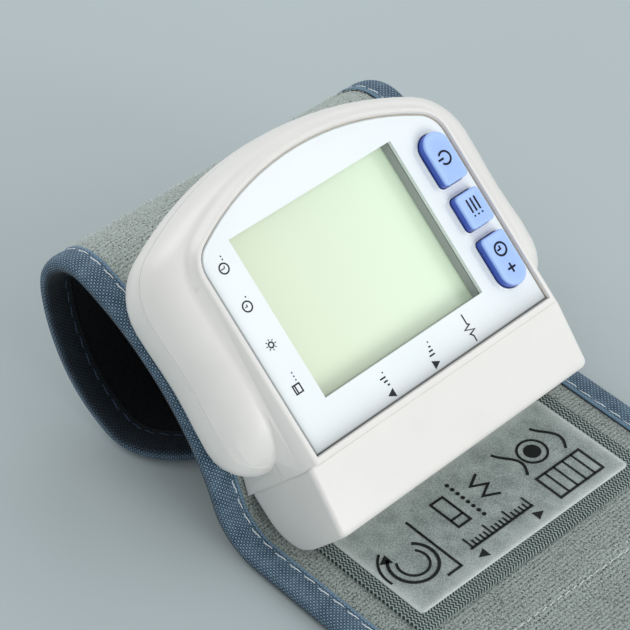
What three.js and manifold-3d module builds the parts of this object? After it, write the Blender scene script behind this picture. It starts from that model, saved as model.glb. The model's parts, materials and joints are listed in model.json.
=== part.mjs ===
// Wrist blood pressure monitor, standing on its own folded cuff.
// Millimetres, +Z up. The model is shifted at the end so that its origin is
// at the bottom centre of its box. The monitor body is modelled in a frame of its own,
// with the display's centre at zero, +X to the arched end, +Y to the top of the
// display and +Z out of the display, and that frame is then tilted.

import * as THREE from 'three';
import { mergeVertices } from 'three/addons/utils/BufferGeometryUtils.js';
import Module from 'manifold-3d';

const wasm = await Module();
wasm.setup();

// Stance

const tiltAngle = 40.1;
const displayHeight = 42.7;
const clearance = 0.3;
const overrun = 3;

// Housing

const wall = 1.6;
const rimHeight = 0.5;
const splitDepth = 9.0;
const seamX = -24.9;
const panel = { back: 23.6, half: 29.2, apex: 24.1, archRadius: 55, cornerRadius: 5.5, thickness: 1.0, bevel: 0.35 };
const rimFlat = 0.7;
const bezel = { apex: 2.4, side: 2.8, archGain: 1.5, cornerGain: 5, depth: 2.6, flare: 1.2 };
const creaseStep = { apex: 0.5, side: 0.6, round: 0.2, depth: 1.85, noseX: 13, noseRadius: 1, dropFrom: 9 };
const shoulderStep = { apex: 2.8, side: 7.6, archGain: 15.5, cornerGain: 2.0, depth: 12.9 };
const pod = { noseX: 14.0, noseRadius: 8.5, proud: 0.5, waist: 0.6 };
const island = { apex: panel.apex + bezel.apex, half: panel.half + bezel.side,
  archRadius: panel.archRadius + bezel.archGain, cornerRadius: panel.cornerRadius + bezel.cornerGain,
  depth: bezel.depth, flare: bezel.flare };
const crease = { apex: island.apex - creaseStep.apex, half: island.half - creaseStep.side,
  archRadius: island.archRadius - creaseStep.round, cornerRadius: island.cornerRadius - creaseStep.round,
  noseX: -creaseStep.noseX, noseRadius: creaseStep.noseRadius, depth: creaseStep.depth, waist: 0 };
const shoulder = { apex: island.apex + shoulderStep.apex, half: island.half + shoulderStep.side,
  archRadius: island.archRadius + shoulderStep.archGain, cornerRadius: island.cornerRadius + shoulderStep.cornerGain,
  noseX: -pod.noseX, noseY: island.half + shoulderStep.side + pod.proud - pod.noseRadius,
  noseRadius: pod.noseRadius, waist: pod.waist, depth: shoulderStep.depth };
const shoulderCurvePower = 1.8;
const wristArc = { radius: 52, centreX: 2.0, crownDepth: 15.2 };
const housingDepth = 24;

// Display window and the pieces behind it

const displayMargin = { top: 7.5, buttons: 6.8 };
const buttonMargin = 4.7;
const buttonY = buttonMargin - panel.half;
const displayLow = buttonY + displayMargin.buttons;
const displayHigh = panel.half - displayMargin.top;
const display = { length: 32.2, width: displayHigh - displayLow, centreY: (displayHigh + displayLow) / 2 };
const glass = { lap: 0.9, depth: 4.0, thickness: 2.0 };
const frameWall = 1.1;
const boardMargin = { low: 1.8, high: 0.8 };
const board = { depth: 7.4, thickness: 1.2, lowX: -13.6, highX: 14.5, lowY: -panel.half - boardMargin.low,
  highY: displayHigh + boardMargin.high, cornerRadius: 2 };

// Buttons

const buttonRow = { centreY: buttonY, width: 5.8, height: 2.3, travel: 0.6, edge: 0.5, corner: 0.6, lip: 0.9,
  lipThickness: 0.7 };
const buttonSpans = {
  time_button: { low: -18.5, high: -8.0, roundLow: true, roundHigh: false },
  memory_button: { low: -5.8, high: 1.1, roundLow: false, roundHigh: false },
  power_button: { low: 3.5, high: 13.6, roundLow: false, roundHigh: true }
};
const tactSwitch = { side: 5, height: 1.8, plungerRadius: 1.6, plungerHeight: 0.5 };

// Battery end

const cell = { radius: 5.25, length: 44.5, nubRadius: 1.9, nubLength: 1.0, crimp: 0.5 };
const cellDepth = 12.4;
const innerCellX = -20.3;
const cellPitch = 10.8;
const cover = { length: 13.3, sunk: 0.85, fall: 2.65, half: 31.4, flare: 1.8, topEdge: 1.1, topRound: 1.1, bottomRun: 8.3, bottomRise: 7.8, bottomDepth: 21.9,
  cornerRadius: 1.3, wall: 1.5, bottomEdge: 2.0, endShare: 0.992 };
const bayFloorThickness = 1.5;
const bayFloorDepth = cover.bottomDepth - bayFloorThickness;
const endPlay = 2.95;
const tray = { wall: 0.8, halfInside: cell.length / 2 + endPlay, pocketGap: 0.35, floorDepth: 21 };
const contact = { thickness: 0.4, width: 8, height: 8, wireRadius: 0.35, turns: 3, wideRadius: 3.3, narrowRadius: 2.1 };
const nailNotch = { length: 7.5, width: 0.5, depth: 0.4, fromSeam: 0.7 };

// Pneumatics under the board

const airDepth = 11.0;
const tube = { outer: 2.0, inner: 1.2 };
const nozzleRadius = 0.9;
const nozzleLength = 2.6;
const pump = { radius: 4.6, x: 19.8, depth: 11.6, motorLow: -9, motorLength: 15, headLength: 9, bossRadius: 1.5,
  bossLength: 1.0 };
const airLineMargin = 1.4;
const airLineY = panel.half - airLineMargin;
const valve = { radius: 3.2, length: 11.5, x: -7.3, y: airLineY, depth: 10.0 };
const manifold = { x: 6.0, y: airLineY, bodyRadius: 1.9, pipeRadius: 1.6, flangeRadius: 2.6, flangeThickness: 0.8 };
const sensorReach = 13.8;
const sensor = { x: 2, y: airLineY - sensorReach, side: 7, height: 3.7 };
const buzzer = { x: -3, y: -8, radius: 4.5, height: 3.2 };
const chip = { x: -6, y: 6, side: 8, height: 1.2 };

// Fasteners

const screw = { shank: 1.0, head: 2.0, headHeight: 1.4, sink: 2.5, boss: 2.4, reach: 6.4 };
const screwLine = { archX: 12, podX: -14, fromSide: 5.9 };
const screwY = shoulder.half - screwLine.fromSide;
const screwPlaces = [screwLine.archX, screwLine.podX].flatMap((x) => [[x, screwY], [x, -screwY]]);
const peg = { radius: 1.5, x: -4, y: 20, rise: 1.2 };

// Cuff: the sheets, their stack and the route that the cuff takes

const cuffShy = 0.3;
const cuffHalf = shoulder.half - cuffShy;
const cuffEndShare = 0.9466;
const cuffEndHalf = cuffHalf * cuffEndShare;
const cuffEndCorner = 17;
const sheet = 0.6;
const bindingWidth = 5.3;
const bindingChamfer = 0.6;
const cuffThickness = 4 * sheet + 3 * clearance;
const riseAngle = 70.9;
const crownLeaveAngle = 16;
const loopTop = { radius: 12, endAngle: -90 };
const loopBack = { radius: 35, endAngle: -118 };
const lowerRun = 9.5;
const tailLength = 41.8;
const labelMargin = 12.7;
const label = { half: cuffHalf - labelMargin, far: 42, near: 22, thickness: 0.3, corner: 1 };
const frameBand = { side: 2.7, far: 4.8, near: 2, thickness: 0.5 };
const meshFrame = { half: label.half + frameBand.side, far: label.far + frameBand.far,
  near: label.near - frameBand.near, thickness: frameBand.thickness, corner: label.corner };
const flapLength = 105;
const flapCorner = 12;
const flapSheet = 0.5;
const flapThickness = 3 * flapSheet + 2 * clearance;
const hookLength = 46;

// Facets

const archSteps = 9;
const cornerSteps = 6;
const noseSteps = 9;
const sideSteps = 6;
const roundSteps = 20;
const bendStep = 8;
const quarterSteps = 4;

const deg = Math.PI / 180;

// Materials

const finish = (color, roughness, metalness = 0) => new THREE.MeshStandardMaterial({ color, roughness, metalness });
const ivory = finish(0xe8e6e0, 0.35);
const panelWhite = finish(0xf0f8fa, 0.12);
const displayGreen = finish(0xdeeed6, 0.15);
const frameGrey = finish(0xa8acac, 0.5);
const buttonBlue = finish(0x8fb2f0, 0.35);
const boardGreen = finish(0x1f6b3a, 0.6);
const blackPlastic = finish(0x202224, 0.55);
const steel = finish(0xc4c6c8, 0.3, 0.9);
const silicone = finish(0xd8dcdc, 0.5);
const cellWrap = finish(0x2b2d33, 0.35);
const clothGrey = finish(0x969c96, 0.95);
const bindingBlue = finish(0x58708c, 0.9);
const liningNavy = finish(0x14161e, 0.85);
const labelGrey = finish(0x96a0a0, 0.6);
const meshGreen = finish(0x6e7d7a, 0.85);
const springPlate = finish(0xe2e2dc, 0.4);
const bladderBlue = finish(0x33415a, 0.6);
const hookBlack = finish(0x1a1c20, 0.9);

// Solids

function solid(geometry) {
  const bare = geometry.clone();
  bare.deleteAttribute('normal');
  bare.deleteAttribute('uv');
  const merged = mergeVertices(bare, 1e-5);
  const vertProperties = new Float32Array(merged.attributes.position.array);
  const triVerts = new Uint32Array(merged.index.array);
  return new wasm.Manifold(new wasm.Mesh({ numProp: 3, vertProperties, triVerts }));
}

function geometryOf(body) {
  const mesh = body.getMesh();
  const geometry = new THREE.BufferGeometry();
  geometry.setAttribute('position', new THREE.BufferAttribute(new Float32Array(mesh.vertProperties), 3));
  geometry.setIndex(new THREE.BufferAttribute(new Uint32Array(mesh.triVerts), 1));
  geometry.computeVertexNormals();
  return geometry;
}

function piece(group, name, shape, material) {
  const geometry = shape.isBufferGeometry ? shape : geometryOf(shape);
  const mesh = new THREE.Mesh(geometry, material);
  mesh.name = name;
  group.add(mesh);
  return mesh;
}

// A closed skin over equal rings of points, its two ends filled flat. The end fill is
// worked out in the plane that flatten gives.
function loft(rings, flatten) {
  const count = rings[0].length;
  const points = rings.flat();
  const faces = [];
  for (let ring = 0; ring + 1 < rings.length; ring += 1) {
    for (let side = 0; side < count; side += 1) {
      const next = (side + 1) % count;
      const low = ring * count;
      const high = low + count;
      faces.push(low + side, low + next, high + next, low + side, high + next, high + side);
    }
  }
  const last = (rings.length - 1) * count;
  const fill = (ring) => {
    const flat = ring.map(flatten);
    const corners = THREE.ShapeUtils.triangulateShape(flat, []);
    return THREE.ShapeUtils.area(flat) > 0 ? corners : corners.map(([a, b, c]) => [a, c, b]);
  };
  for (const [a, b, c] of fill(rings[0])) faces.push(a, c, b);
  for (const [a, b, c] of fill(rings[rings.length - 1])) faces.push(last + a, last + b, last + c);
  const geometry = new THREE.BufferGeometry();
  geometry.setAttribute('position', new THREE.Float32BufferAttribute(points.flatMap((p) => [p.x, p.y, p.z]), 3));
  geometry.setIndex(faces);
  return facingOut(geometry);
}

function facingOut(geometry) {
  const at = geometry.attributes.position;
  const index = geometry.index.array;
  const a = new THREE.Vector3();
  const b = new THREE.Vector3();
  const c = new THREE.Vector3();
  let volume = 0;
  for (let i = 0; i < index.length; i += 3) {
    a.fromBufferAttribute(at, index[i]);
    b.fromBufferAttribute(at, index[i + 1]);
    c.fromBufferAttribute(at, index[i + 2]);
    volume += a.dot(b.cross(c));
  }
  if (volume < 0) {
    for (let i = 0; i < index.length; i += 3) {
      [index[i], index[i + 1]] = [index[i + 1], index[i]];
    }
  }
  return geometry;
}

const seenFromTop = (p) => new THREE.Vector2(p.x, p.y);
const seenFromEnd = (p) => new THREE.Vector2(p.y, p.z);

// A plan outline raised from one height to another.
function slab(outline, lowZ, highZ) {
  const at = (z) => outline.map((p) => new THREE.Vector3(p.x, p.y, z));
  return solid(loft([at(lowZ), at(highZ)], seenFromTop));
}

function block(lowX, highX, lowY, highY, lowZ, highZ) {
  const box = new THREE.BoxGeometry(highX - lowX, highY - lowY, highZ - lowZ);
  box.translate((lowX + highX) / 2, (lowY + highY) / 2, (lowZ + highZ) / 2);
  return solid(box);
}

// A round bar between two heights at a place on the plan.
function post(radius, x, y, lowZ, highZ, steps = roundSteps) {
  const bar = new THREE.CylinderGeometry(radius, radius, highZ - lowZ, steps);
  bar.rotateX(90 * deg);
  bar.translate(x, y, (lowZ + highZ) / 2);
  return solid(bar);
}

// A round bar along Y or X.
function barAlongY(radius, x, lowY, highY, z, steps = roundSteps) {
  const bar = new THREE.CylinderGeometry(radius, radius, highY - lowY, steps);
  bar.translate(x, (lowY + highY) / 2, z);
  return solid(bar);
}

function barAlongX(radius, lowX, highX, y, z, steps = roundSteps) {
  const bar = new THREE.CylinderGeometry(radius, radius, highX - lowX, steps);
  bar.rotateZ(90 * deg);
  bar.translate((lowX + highX) / 2, y, z);
  return solid(bar);
}

function sweepArc(centreX, centreY, radius, fromAngle, toAngle, steps) {
  const points = [];
  for (let i = 0; i <= steps; i += 1) {
    const angle = fromAngle + (toAngle - fromAngle) * i / steps;
    points.push(new THREE.Vector2(centreX + radius * Math.cos(angle), centreY + radius * Math.sin(angle)));
  }
  return points;
}

const mirrored = (points) => points.map((p) => new THREE.Vector2(p.x, -p.y)).reverse();

// The arched end: a wide arc over the apex and a corner arc that meets it and a side.
function archCentres(shape) {
  const archX = shape.apex - shape.archRadius;
  const cornerY = shape.half - shape.cornerRadius;
  const reach = shape.archRadius - shape.cornerRadius;
  const cornerX = archX + Math.sqrt(reach * reach - cornerY * cornerY);
  return { archX, cornerX, cornerY, meetAngle: Math.atan2(cornerY, cornerX - archX) };
}

// D-shaped outline: straight back edge, straight sides, rounded corners, arched end.
function archOutline(shape) {
  const { archX, cornerX, cornerY, meetAngle } = archCentres(shape);
  const upper = [
    ...sweepArc(archX, 0, shape.archRadius, 0, meetAngle, archSteps),
    ...sweepArc(cornerX, cornerY, shape.cornerRadius, meetAngle, 90 * deg, cornerSteps).slice(1),
    new THREE.Vector2(-shape.back, shape.half)
  ];
  return [...upper, ...mirrored(upper.slice(1))];
}

const grown = (shape, by) => ({ ...shape, apex: shape.apex + by, half: shape.half + by,
  archRadius: shape.archRadius + by, cornerRadius: shape.cornerRadius + by });

// Outline with side pods: the arch, its corners, slightly waisted sides that run to a
// round nose, and a line that joins the two noses inside the body.
function podOutline(shape) {
  const { archX, cornerX, cornerY, meetAngle } = archCentres(shape);
  const away = new THREE.Vector2(cornerX - shape.noseX, cornerY - shape.noseY);
  const bearing = Math.atan2(away.x, away.y);
  const lean = bearing - Math.acos((shape.noseRadius - shape.cornerRadius) / away.length());
  const corner = sweepArc(cornerX, cornerY, shape.cornerRadius, meetAngle, 90 * deg - lean, cornerSteps);
  const nose = sweepArc(shape.noseX, shape.noseY, shape.noseRadius, 90 * deg - lean, 215 * deg, noseSteps);
  const sideStart = corner[corner.length - 1];
  const side = Array.from({ length: sideSteps - 1 }, (_, i) => {
    const share = (i + 1) / sideSteps;
    const place = sideStart.clone().lerp(nose[0], share);
    place.y -= shape.waist * Math.sin(180 * deg * share) ** 2;
    return place;
  });
  const upper = [...sweepArc(archX, 0, shape.archRadius, 0, meetAngle, archSteps), ...corner.slice(1), ...side, ...nose];
  return [...upper, ...mirrored(upper.slice(1))];
}

const shoulderOutline = podOutline(shoulder);
const creaseShape = { ...crease, noseY: crease.half - crease.noseRadius };

// Quarter of an ellipse from a flat top to an upright side, as shares of width and depth.
const quarterShares = Array.from({ length: quarterSteps + 1 }, (_, i) => {
  const angle = 90 * deg * i / quarterSteps;
  return [Math.sin(angle), 1 - Math.cos(angle)];
});

// Section of the rim round the panel, from its flat over a tight edge to a steep side:
// each pair is a share of the rim's width and a share of its depth.
const rimSectionShares = [[0, 0], [0.092, 0.008], [0.179, 0.03], [0.25, 0.063], [0.312, 0.11], [1, 1]];

// The body that carries the panel, with its rim and slightly flared sides.
function coreBody(inset) {
  const topZ = inset > 0 ? -(panel.thickness + clearance + inset) : rimHeight;
  const inner = { ...grown(panel, rimFlat), back: -seamX - inset };
  const base = { ...grown(island, -inset), back: -seamX - inset };
  const innerOutline = archOutline(inset > 0 ? base : inner);
  const outerOutline = archOutline(base);
  const rings = rimSectionShares.map(([across, down]) => innerOutline.map((p, i) => new THREE.Vector3(
    p.x + (outerOutline[i].x - p.x) * across,
    p.y + (outerOutline[i].y - p.y) * across,
    topZ - (inset > 0 ? inset * across : (island.depth + rimHeight) * down)
  )));
  const flared = archOutline({ ...base, half: base.half + island.flare, cornerRadius: base.cornerRadius + island.flare });
  rings.push(flared.map((p) => new THREE.Vector3(p.x, p.y, -housingDepth)));
  return solid(loft(rings, seenFromTop));
}

// The lower shoulder with its side pods. Each level lies between the crease outline and
// the widest outline, and the level's height follows a rounded curve.
const lowerLevelShares = [[0.93, 0.18], [0.82, 0.32], [0.66, 0.5], [0.52, 0.75], [0.42, 1]];

function shoulderBody(inset) {
  const widest = podOutline({ ...grown(shoulder, -inset), noseRadius: shoulder.noseRadius - inset });
  const under = podOutline({ ...grown(creaseShape, -inset), noseRadius: creaseShape.noseRadius,
    noseY: creaseShape.noseY - inset });
  const creaseY = creaseShape.half - inset;
  const noseCount = noseSteps + 1;
  const upperCount = (widest.length + 1) / 2;
  const start = under.map((p, i) => {
    const order = Math.min(i, widest.length - i);
    if (order < upperCount - noseCount) return p;
    const along = widest[i].x;
    return new THREE.Vector2(along, Math.sign(widest[i].y) * Math.min(Math.abs(widest[i].y), creaseY));
  });
  const tipX = shoulder.noseX - shoulder.noseRadius;
  const topAt = start.map((p) => {
    const past = Math.min(1, Math.max(0, (-creaseStep.dropFrom - p.x) / (-creaseStep.dropFrom - tipX)));
    const dropped = 1 - Math.sqrt(1 - past * past);
    return -crease.depth - inset - (shoulder.depth - crease.depth - inset) * dropped;
  });
  const rings = [];
  const level = (from, share, heightAt) => rings.push(from.map((p, i) => new THREE.Vector3(
    p.x + (widest[i].x - p.x) * share, p.y + (widest[i].y - p.y) * share, heightAt(i)
  )));
  const upperSteps = 7;
  for (let i = 0; i <= upperSteps; i += 1) {
    const angle = 90 * deg * i / upperSteps;
    const across = Math.sin(angle) ** (2 / shoulderCurvePower);
    const up = Math.max(0, Math.cos(angle)) ** (2 / shoulderCurvePower);
    level(start, across, (k) => -shoulder.depth + (topAt[k] + shoulder.depth) * up);
  }
  for (const [share, down] of lowerLevelShares) {
    level(under, share, () => -shoulder.depth - (housingDepth - shoulder.depth) * down);
  }
  return solid(loft(rings, seenFromTop));
}

// The round of the wrist under the housing.
function wristRound(extra) {
  const steps = 144;
  return barAlongY(wristArc.radius + extra, wristArc.centreX, -shoulder.half - overrun, shoulder.half + overrun,
    -wristArc.crownDepth - wristArc.radius, steps);
}

function underside(x) {
  const along = x - wristArc.centreX;
  return -wristArc.crownDepth - wristArc.radius + Math.sqrt(wristArc.radius ** 2 - along ** 2);
}

const outerBody = coreBody(0).add(shoulderBody(0)).subtract(wristRound(0));
const cavity = coreBody(wall).add(shoulderBody(wall)).subtract(wristRound(wall));

function halfSpace(lowZ, highZ) {
  const reach = 2 * shoulder.half;
  return block(-reach, reach, -reach, reach, lowZ, highZ);
}

const farDepth = -3 * housingDepth;
const farHeight = 3 * housingDepth;

// Battery cover: sections across the body, carried along the end.
// A flat top that falls a little to a rounded edge, an upright end with rounded corners,
// and a bottom that sweeps up to the end.
function coverBody({ inset = 0, bottomInset = 0, endInset = 0, bottomDrop = 0, start = 0 }) {
  const steps = 13;
  const length = cover.length / cover.endShare - endInset;
  const rounded = (radius) => Math.max(radius - endInset, radius / 4);
  const drawnOver = (run, past) => 1 - Math.sqrt(Math.max(0, 1 - (Math.max(0, run - past) / run) ** 2));
  const depthOf = (z) => (rimHeight - z) / (rimHeight + cover.bottomDepth);
  const halfAt = (z) => cover.half - inset + cover.flare * depthOf(z);
  const topRound = rounded(cover.topRound);
  const cornerRadius = rounded(cover.cornerRadius);
  const rings = [];
  const section = (share, x) => {
    const left = length * (1 - share);
    const topZ = rimHeight - cover.sunk - inset - cover.fall * share - topRound * drawnOver(topRound, left);
    const lowZ = bottomInset - bottomDrop - cover.bottomDepth + cover.bottomRise * drawnOver(cover.bottomRun, left);
    const drawnIn = cornerRadius * drawnOver(cornerRadius, left);
    const low = cover.bottomEdge;
    const side = quarterShares.map(([across, down]) => {
      const z = topZ - cover.topEdge * down;
      return new THREE.Vector3(x, halfAt(topZ - cover.topEdge) - drawnIn - cover.topEdge * (1 - across), z);
    });
    for (let i = 0; i <= quarterSteps; i += 1) {
      const angle = 90 * deg * i / quarterSteps;
      const z = lowZ + low - low * Math.sin(angle);
      side.push(new THREE.Vector3(x, halfAt(lowZ) - drawnIn - low * (1 - Math.cos(angle)), z));
    }
    const other = side.map((p) => new THREE.Vector3(p.x, -p.y, p.z)).reverse();
    rings.push([...side, ...other]);
  };
  section(0, seamX + start);
  for (let i = start > 0 ? 0 : 1; i <= steps; i += 1) {
    const share = cover.endShare * Math.sin(90 * deg * i / steps);
    section(share, seamX - clearance - length * share);
  }
  return solid(loft(rings, seenFromEnd));
}

function batteryCover() {
  const shell = coverBody({ start: -clearance })
    .subtract(coverBody({ inset: cover.wall, endInset: cover.wall, bottomDrop: housingDepth, start: overrun }));
  const notchX = seamX - clearance - nailNotch.fromSeam;
  const notch = block(notchX - nailNotch.width, notchX, -nailNotch.length / 2, nailNotch.length / 2,
    rimHeight - 2 * nailNotch.depth, rimHeight + overrun);
  return shell.subtract(notch);
}

// The floor of the battery bay, flush with the cover's lower edges, and the room above it.
const bayGap = cover.wall + clearance;

function bayRoom(lift) {
  return coverBody({ inset: bayGap, endInset: bayGap, bottomInset: bayFloorThickness + lift, start: overrun });
}

function bayFloor() {
  return coverBody({ inset: bayGap, endInset: bayGap, start: wall })
    .subtract(coverBody({ endInset: bayGap - clearance, bottomInset: bayFloorThickness, start: 2 * overrun }));
}

// Battery tray: a cradle with a half-round seat for each cell, open at the top.

const outerCellX = innerCellX - cellPitch;
const seatRadius = cell.radius + tray.pocketGap;

function trayBlock(gap) {
  const endX = outerCellX - seatRadius - gap;
  const half = tray.halfInside + tray.wall + gap;
  return block(endX, innerCellX + seatRadius + tray.wall + gap, -half, half, -tray.floorDepth - gap,
    -board.depth + gap);
}

function batteryTray() {
  let body = trayBlock(0);
  for (const x of [innerCellX, outerCellX]) {
    body = body.subtract(barAlongY(seatRadius, x, -tray.halfInside, tray.halfInside, -cellDepth, 2 * roundSteps));
  }
  const open = block(outerCellX - seatRadius - overrun, innerCellX + seatRadius, -tray.halfInside, tray.halfInside,
    -cellDepth, overrun);
  const room = cavity.add(bayRoom(clearance));
  return body.subtract(open).subtract(wristRound(wall + clearance)).intersect(room);
}

// Cells stand end for end: x and the side to which the plus end points.
const cells = [
  { name: 'battery_1', x: innerCellX, way: 1, spring: 'contact_spring_1', plate: 'contact_plate_1' },
  { name: 'battery_2', x: outerCellX, way: -1, spring: 'contact_spring_2', plate: 'contact_plate_2' }
];
const plusEnd = tray.halfInside - 2 * clearance - contact.thickness;
const minusEnd = plusEnd - cell.length;

function cellShape(x, way) {
  const bodyEnd = plusEnd - cell.nubLength;
  const profile = [
    [0, minusEnd], [cell.radius - cell.crimp, minusEnd], [cell.radius, minusEnd + cell.crimp],
    [cell.radius, bodyEnd - cell.crimp], [cell.radius - cell.crimp, bodyEnd], [cell.nubRadius, bodyEnd],
    [cell.nubRadius, plusEnd], [0, plusEnd]
  ].map(([r, y]) => new THREE.Vector2(r, y));
  const shape = new THREE.LatheGeometry(profile, 28);
  if (way < 0) shape.rotateX(180 * deg);
  shape.translate(x, 0, -cellDepth);
  return solid(shape);
}

// Conical contact spring: a wire carried round a helix that narrows towards the cell.
function contactSpring(x, way) {
  const sides = 5;
  const stepsPerTurn = 8;
  const from = -tray.halfInside + clearance + contact.wireRadius;
  const to = minusEnd - clearance - contact.wireRadius;
  const rings = [];
  const count = contact.turns * stepsPerTurn;
  for (let i = 0; i <= count; i += 1) {
    const share = i / count;
    const turn = share * contact.turns * 360 * deg;
    const radius = contact.wideRadius + (contact.narrowRadius - contact.wideRadius) * share;
    const outward = new THREE.Vector3(Math.cos(turn), 0, Math.sin(turn));
    const centre = outward.clone().multiplyScalar(radius).setY(from + (to - from) * share);
    rings.push(Array.from({ length: sides }, (_, k) => {
      const angle = 360 * deg * k / sides;
      return centre.clone().addScaledVector(outward, contact.wireRadius * Math.cos(angle))
        .add(new THREE.Vector3(0, contact.wireRadius * Math.sin(angle), 0));
    }));
  }
  const wire = loft(rings, (p) => new THREE.Vector2(Math.hypot(p.x, p.z), p.y));
  if (way < 0) wire.rotateX(180 * deg);
  wire.translate(x, 0, -cellDepth);
  return solid(wire);
}

function contactPlate(x, way) {
  const near = plusEnd + clearance;
  const [low, high] = way > 0 ? [near, near + contact.thickness] : [-near - contact.thickness, -near];
  return block(x - contact.width / 2, x + contact.width / 2, low, high,
    -cellDepth - contact.height / 2, -cellDepth + contact.height / 2);
}

// Screw bosses of the two cases.

const floorAt = (x) => underside(x);

function screwBosses(lowZ, highZ) {
  return screwPlaces.map(([x, y]) => post(screw.boss, x, y, lowZ, highZ));
}

const buttonOutline = (span, grow) => {
  const lowY = buttonRow.centreY - buttonRow.width / 2 - grow;
  const highY = buttonRow.centreY + buttonRow.width / 2 + grow;
  const full = (highY - lowY) / 2;
  const corner = Math.max(buttonRow.corner + grow, buttonRow.corner / 2);
  return roundedOutline(span.low - grow, span.high + grow, lowY, highY,
    span.roundLow ? full : corner, span.roundHigh ? full : corner);
};

// Rectangle with one corner radius at its low X end and another at its high X end.
function roundedOutline(lowX, highX, lowY, highY, lowRadius, highRadius) {
  const steps = 6;
  return [
    ...sweepArc(highX - highRadius, lowY + highRadius, highRadius, -90 * deg, 0, steps),
    ...sweepArc(highX - highRadius, highY - highRadius, highRadius, 0, 90 * deg, steps),
    ...sweepArc(lowX + lowRadius, highY - lowRadius, lowRadius, 90 * deg, 180 * deg, steps),
    ...sweepArc(lowX + lowRadius, lowY + lowRadius, lowRadius, 180 * deg, 270 * deg, steps)
  ].filter((p, i, all) => p.distanceTo(all[(i + 1) % all.length]) > 1e-6);
}

function displayBlock(grow, lowZ, highZ) {
  return block(-display.length / 2 - grow, display.length / 2 + grow,
    display.centreY - display.width / 2 - grow, display.centreY + display.width / 2 + grow, lowZ, highZ);
}

const frameTop = -panel.thickness - clearance;
const frameBottom = -board.depth + clearance;
const frameGrow = glass.lap + clearance + frameWall;

// Front case: the upper shell with the panel's recess, the display's well, the button
// holes and the screw posts.
function frontCase() {
  let body = outerBody.intersect(halfSpace(-splitDepth + clearance / 2, farHeight)).subtract(cavity);
  const posts = screwBosses(-splitDepth + clearance / 2, -crease.depth);
  for (const bossPost of posts) body = body.add(bossPost.intersect(outerBody));
  body = body.subtract(slab(archOutline({ ...grown(panel, clearance), back: panel.back + clearance }),
    frameTop, overrun));
  body = body.subtract(displayBlock(frameGrow + clearance, -splitDepth - overrun, overrun));
  for (const span of Object.values(buttonSpans)) {
    body = body.subtract(slab(buttonOutline(span, clearance), -splitDepth, overrun));
  }
  for (const [x, y] of screwPlaces) {
    body = body.subtract(post(screw.shank + clearance, x, y, -splitDepth - overrun, -screw.reach + clearance));
  }
  return body.subtract(trayBlock(clearance));
}

// Back case: the lower shell with its wrist-shaped floor, the bay floor under the cells,
// the screw bosses and the holes for the cuff's pegs and air pipe.
function backCase() {
  let body = outerBody.intersect(halfSpace(farDepth, -splitDepth - clearance / 2)).subtract(cavity);
  for (const boss of screwBosses(farDepth, -splitDepth - clearance / 2)) body = body.add(boss.intersect(outerBody));
  body = body.add(bayFloor().subtract(wristRound(0)));
  body = body.subtract(trayBlock(clearance).intersect(cavity.add(bayRoom(0))).subtract(wristRound(wall)));
  for (const [x, y] of screwPlaces) {
    body = body.subtract(post(screw.shank + clearance, x, y, farDepth, 0));
    body = body.subtract(post(screw.head + clearance, x, y, farDepth, floorAt(x) + screw.sink));
  }
  for (const side of [1, -1]) {
    body = body.subtract(post(peg.radius + clearance, peg.x, side * peg.y, farDepth, -splitDepth));
  }
  return body.subtract(post(manifold.pipeRadius + clearance, manifold.x, manifold.y, farDepth, -splitDepth));
}

function caseScrew(x, y) {
  const seat = floorAt(x) + screw.sink - clearance;
  return post(screw.head, x, y, seat - screw.headHeight, seat)
    .add(post(screw.shank, x, y, seat - screw.headHeight / 2, -screw.reach));
}

function facePanel() {
  const full = archOutline(panel);
  const drawnIn = archOutline({ ...grown(panel, -panel.bevel), back: panel.back - panel.bevel });
  const ring = (outline, z) => outline.map((p) => new THREE.Vector3(p.x, p.y, z));
  let body = solid(loft([ring(full, -panel.thickness), ring(full, -panel.bevel), ring(drawnIn, 0)], seenFromTop));
  body = body.subtract(displayBlock(0, -overrun, overrun));
  for (const span of Object.values(buttonSpans)) {
    body = body.subtract(slab(buttonOutline(span, clearance), -overrun, overrun));
  }
  return body;
}

// A cap with a rounded top edge and a lip that keeps it under the front case.
function buttonCap(span) {
  const lipTop = -panel.thickness - clearance - wall - clearance;
  const ring = (grow, z) => buttonOutline(span, grow).map((p) => new THREE.Vector3(p.x, p.y, z));
  const cap = solid(loft([
    ring(0, lipTop - buttonRow.lipThickness / 2),
    ring(0, buttonRow.height - buttonRow.edge),
    ring(-buttonRow.edge * (1 - Math.cos(45 * deg)), buttonRow.height - buttonRow.edge * (1 - Math.sin(45 * deg))),
    ring(-buttonRow.edge, buttonRow.height)
  ], seenFromTop));
  return cap.add(slab(buttonOutline(span, buttonRow.lip), lipTop - buttonRow.lipThickness, lipTop));
}

function tactSwitchBody(span) {
  const x = (span.low + span.high) / 2;
  const y = buttonRow.centreY;
  const half = tactSwitch.side / 2;
  const foot = -board.depth + clearance;
  return block(x - half, x + half, y - half, y + half, foot, foot + tactSwitch.height)
    .add(post(tactSwitch.plungerRadius, x, y, foot, foot + tactSwitch.height + tactSwitch.plungerHeight));
}

function lcdFrame() {
  return displayBlock(frameGrow, frameBottom, frameTop)
    .subtract(displayBlock(0, farDepth, farHeight))
    .subtract(displayBlock(glass.lap + clearance, farDepth, -glass.depth + clearance));
}

function circuitBoard() {
  const outline = roundedOutline(board.lowX, board.highX, board.lowY, board.highY, board.cornerRadius,
    board.cornerRadius);
  return slab(outline, -board.depth - board.thickness, -board.depth);
}

const boardUnder = -board.depth - board.thickness - clearance;

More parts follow.
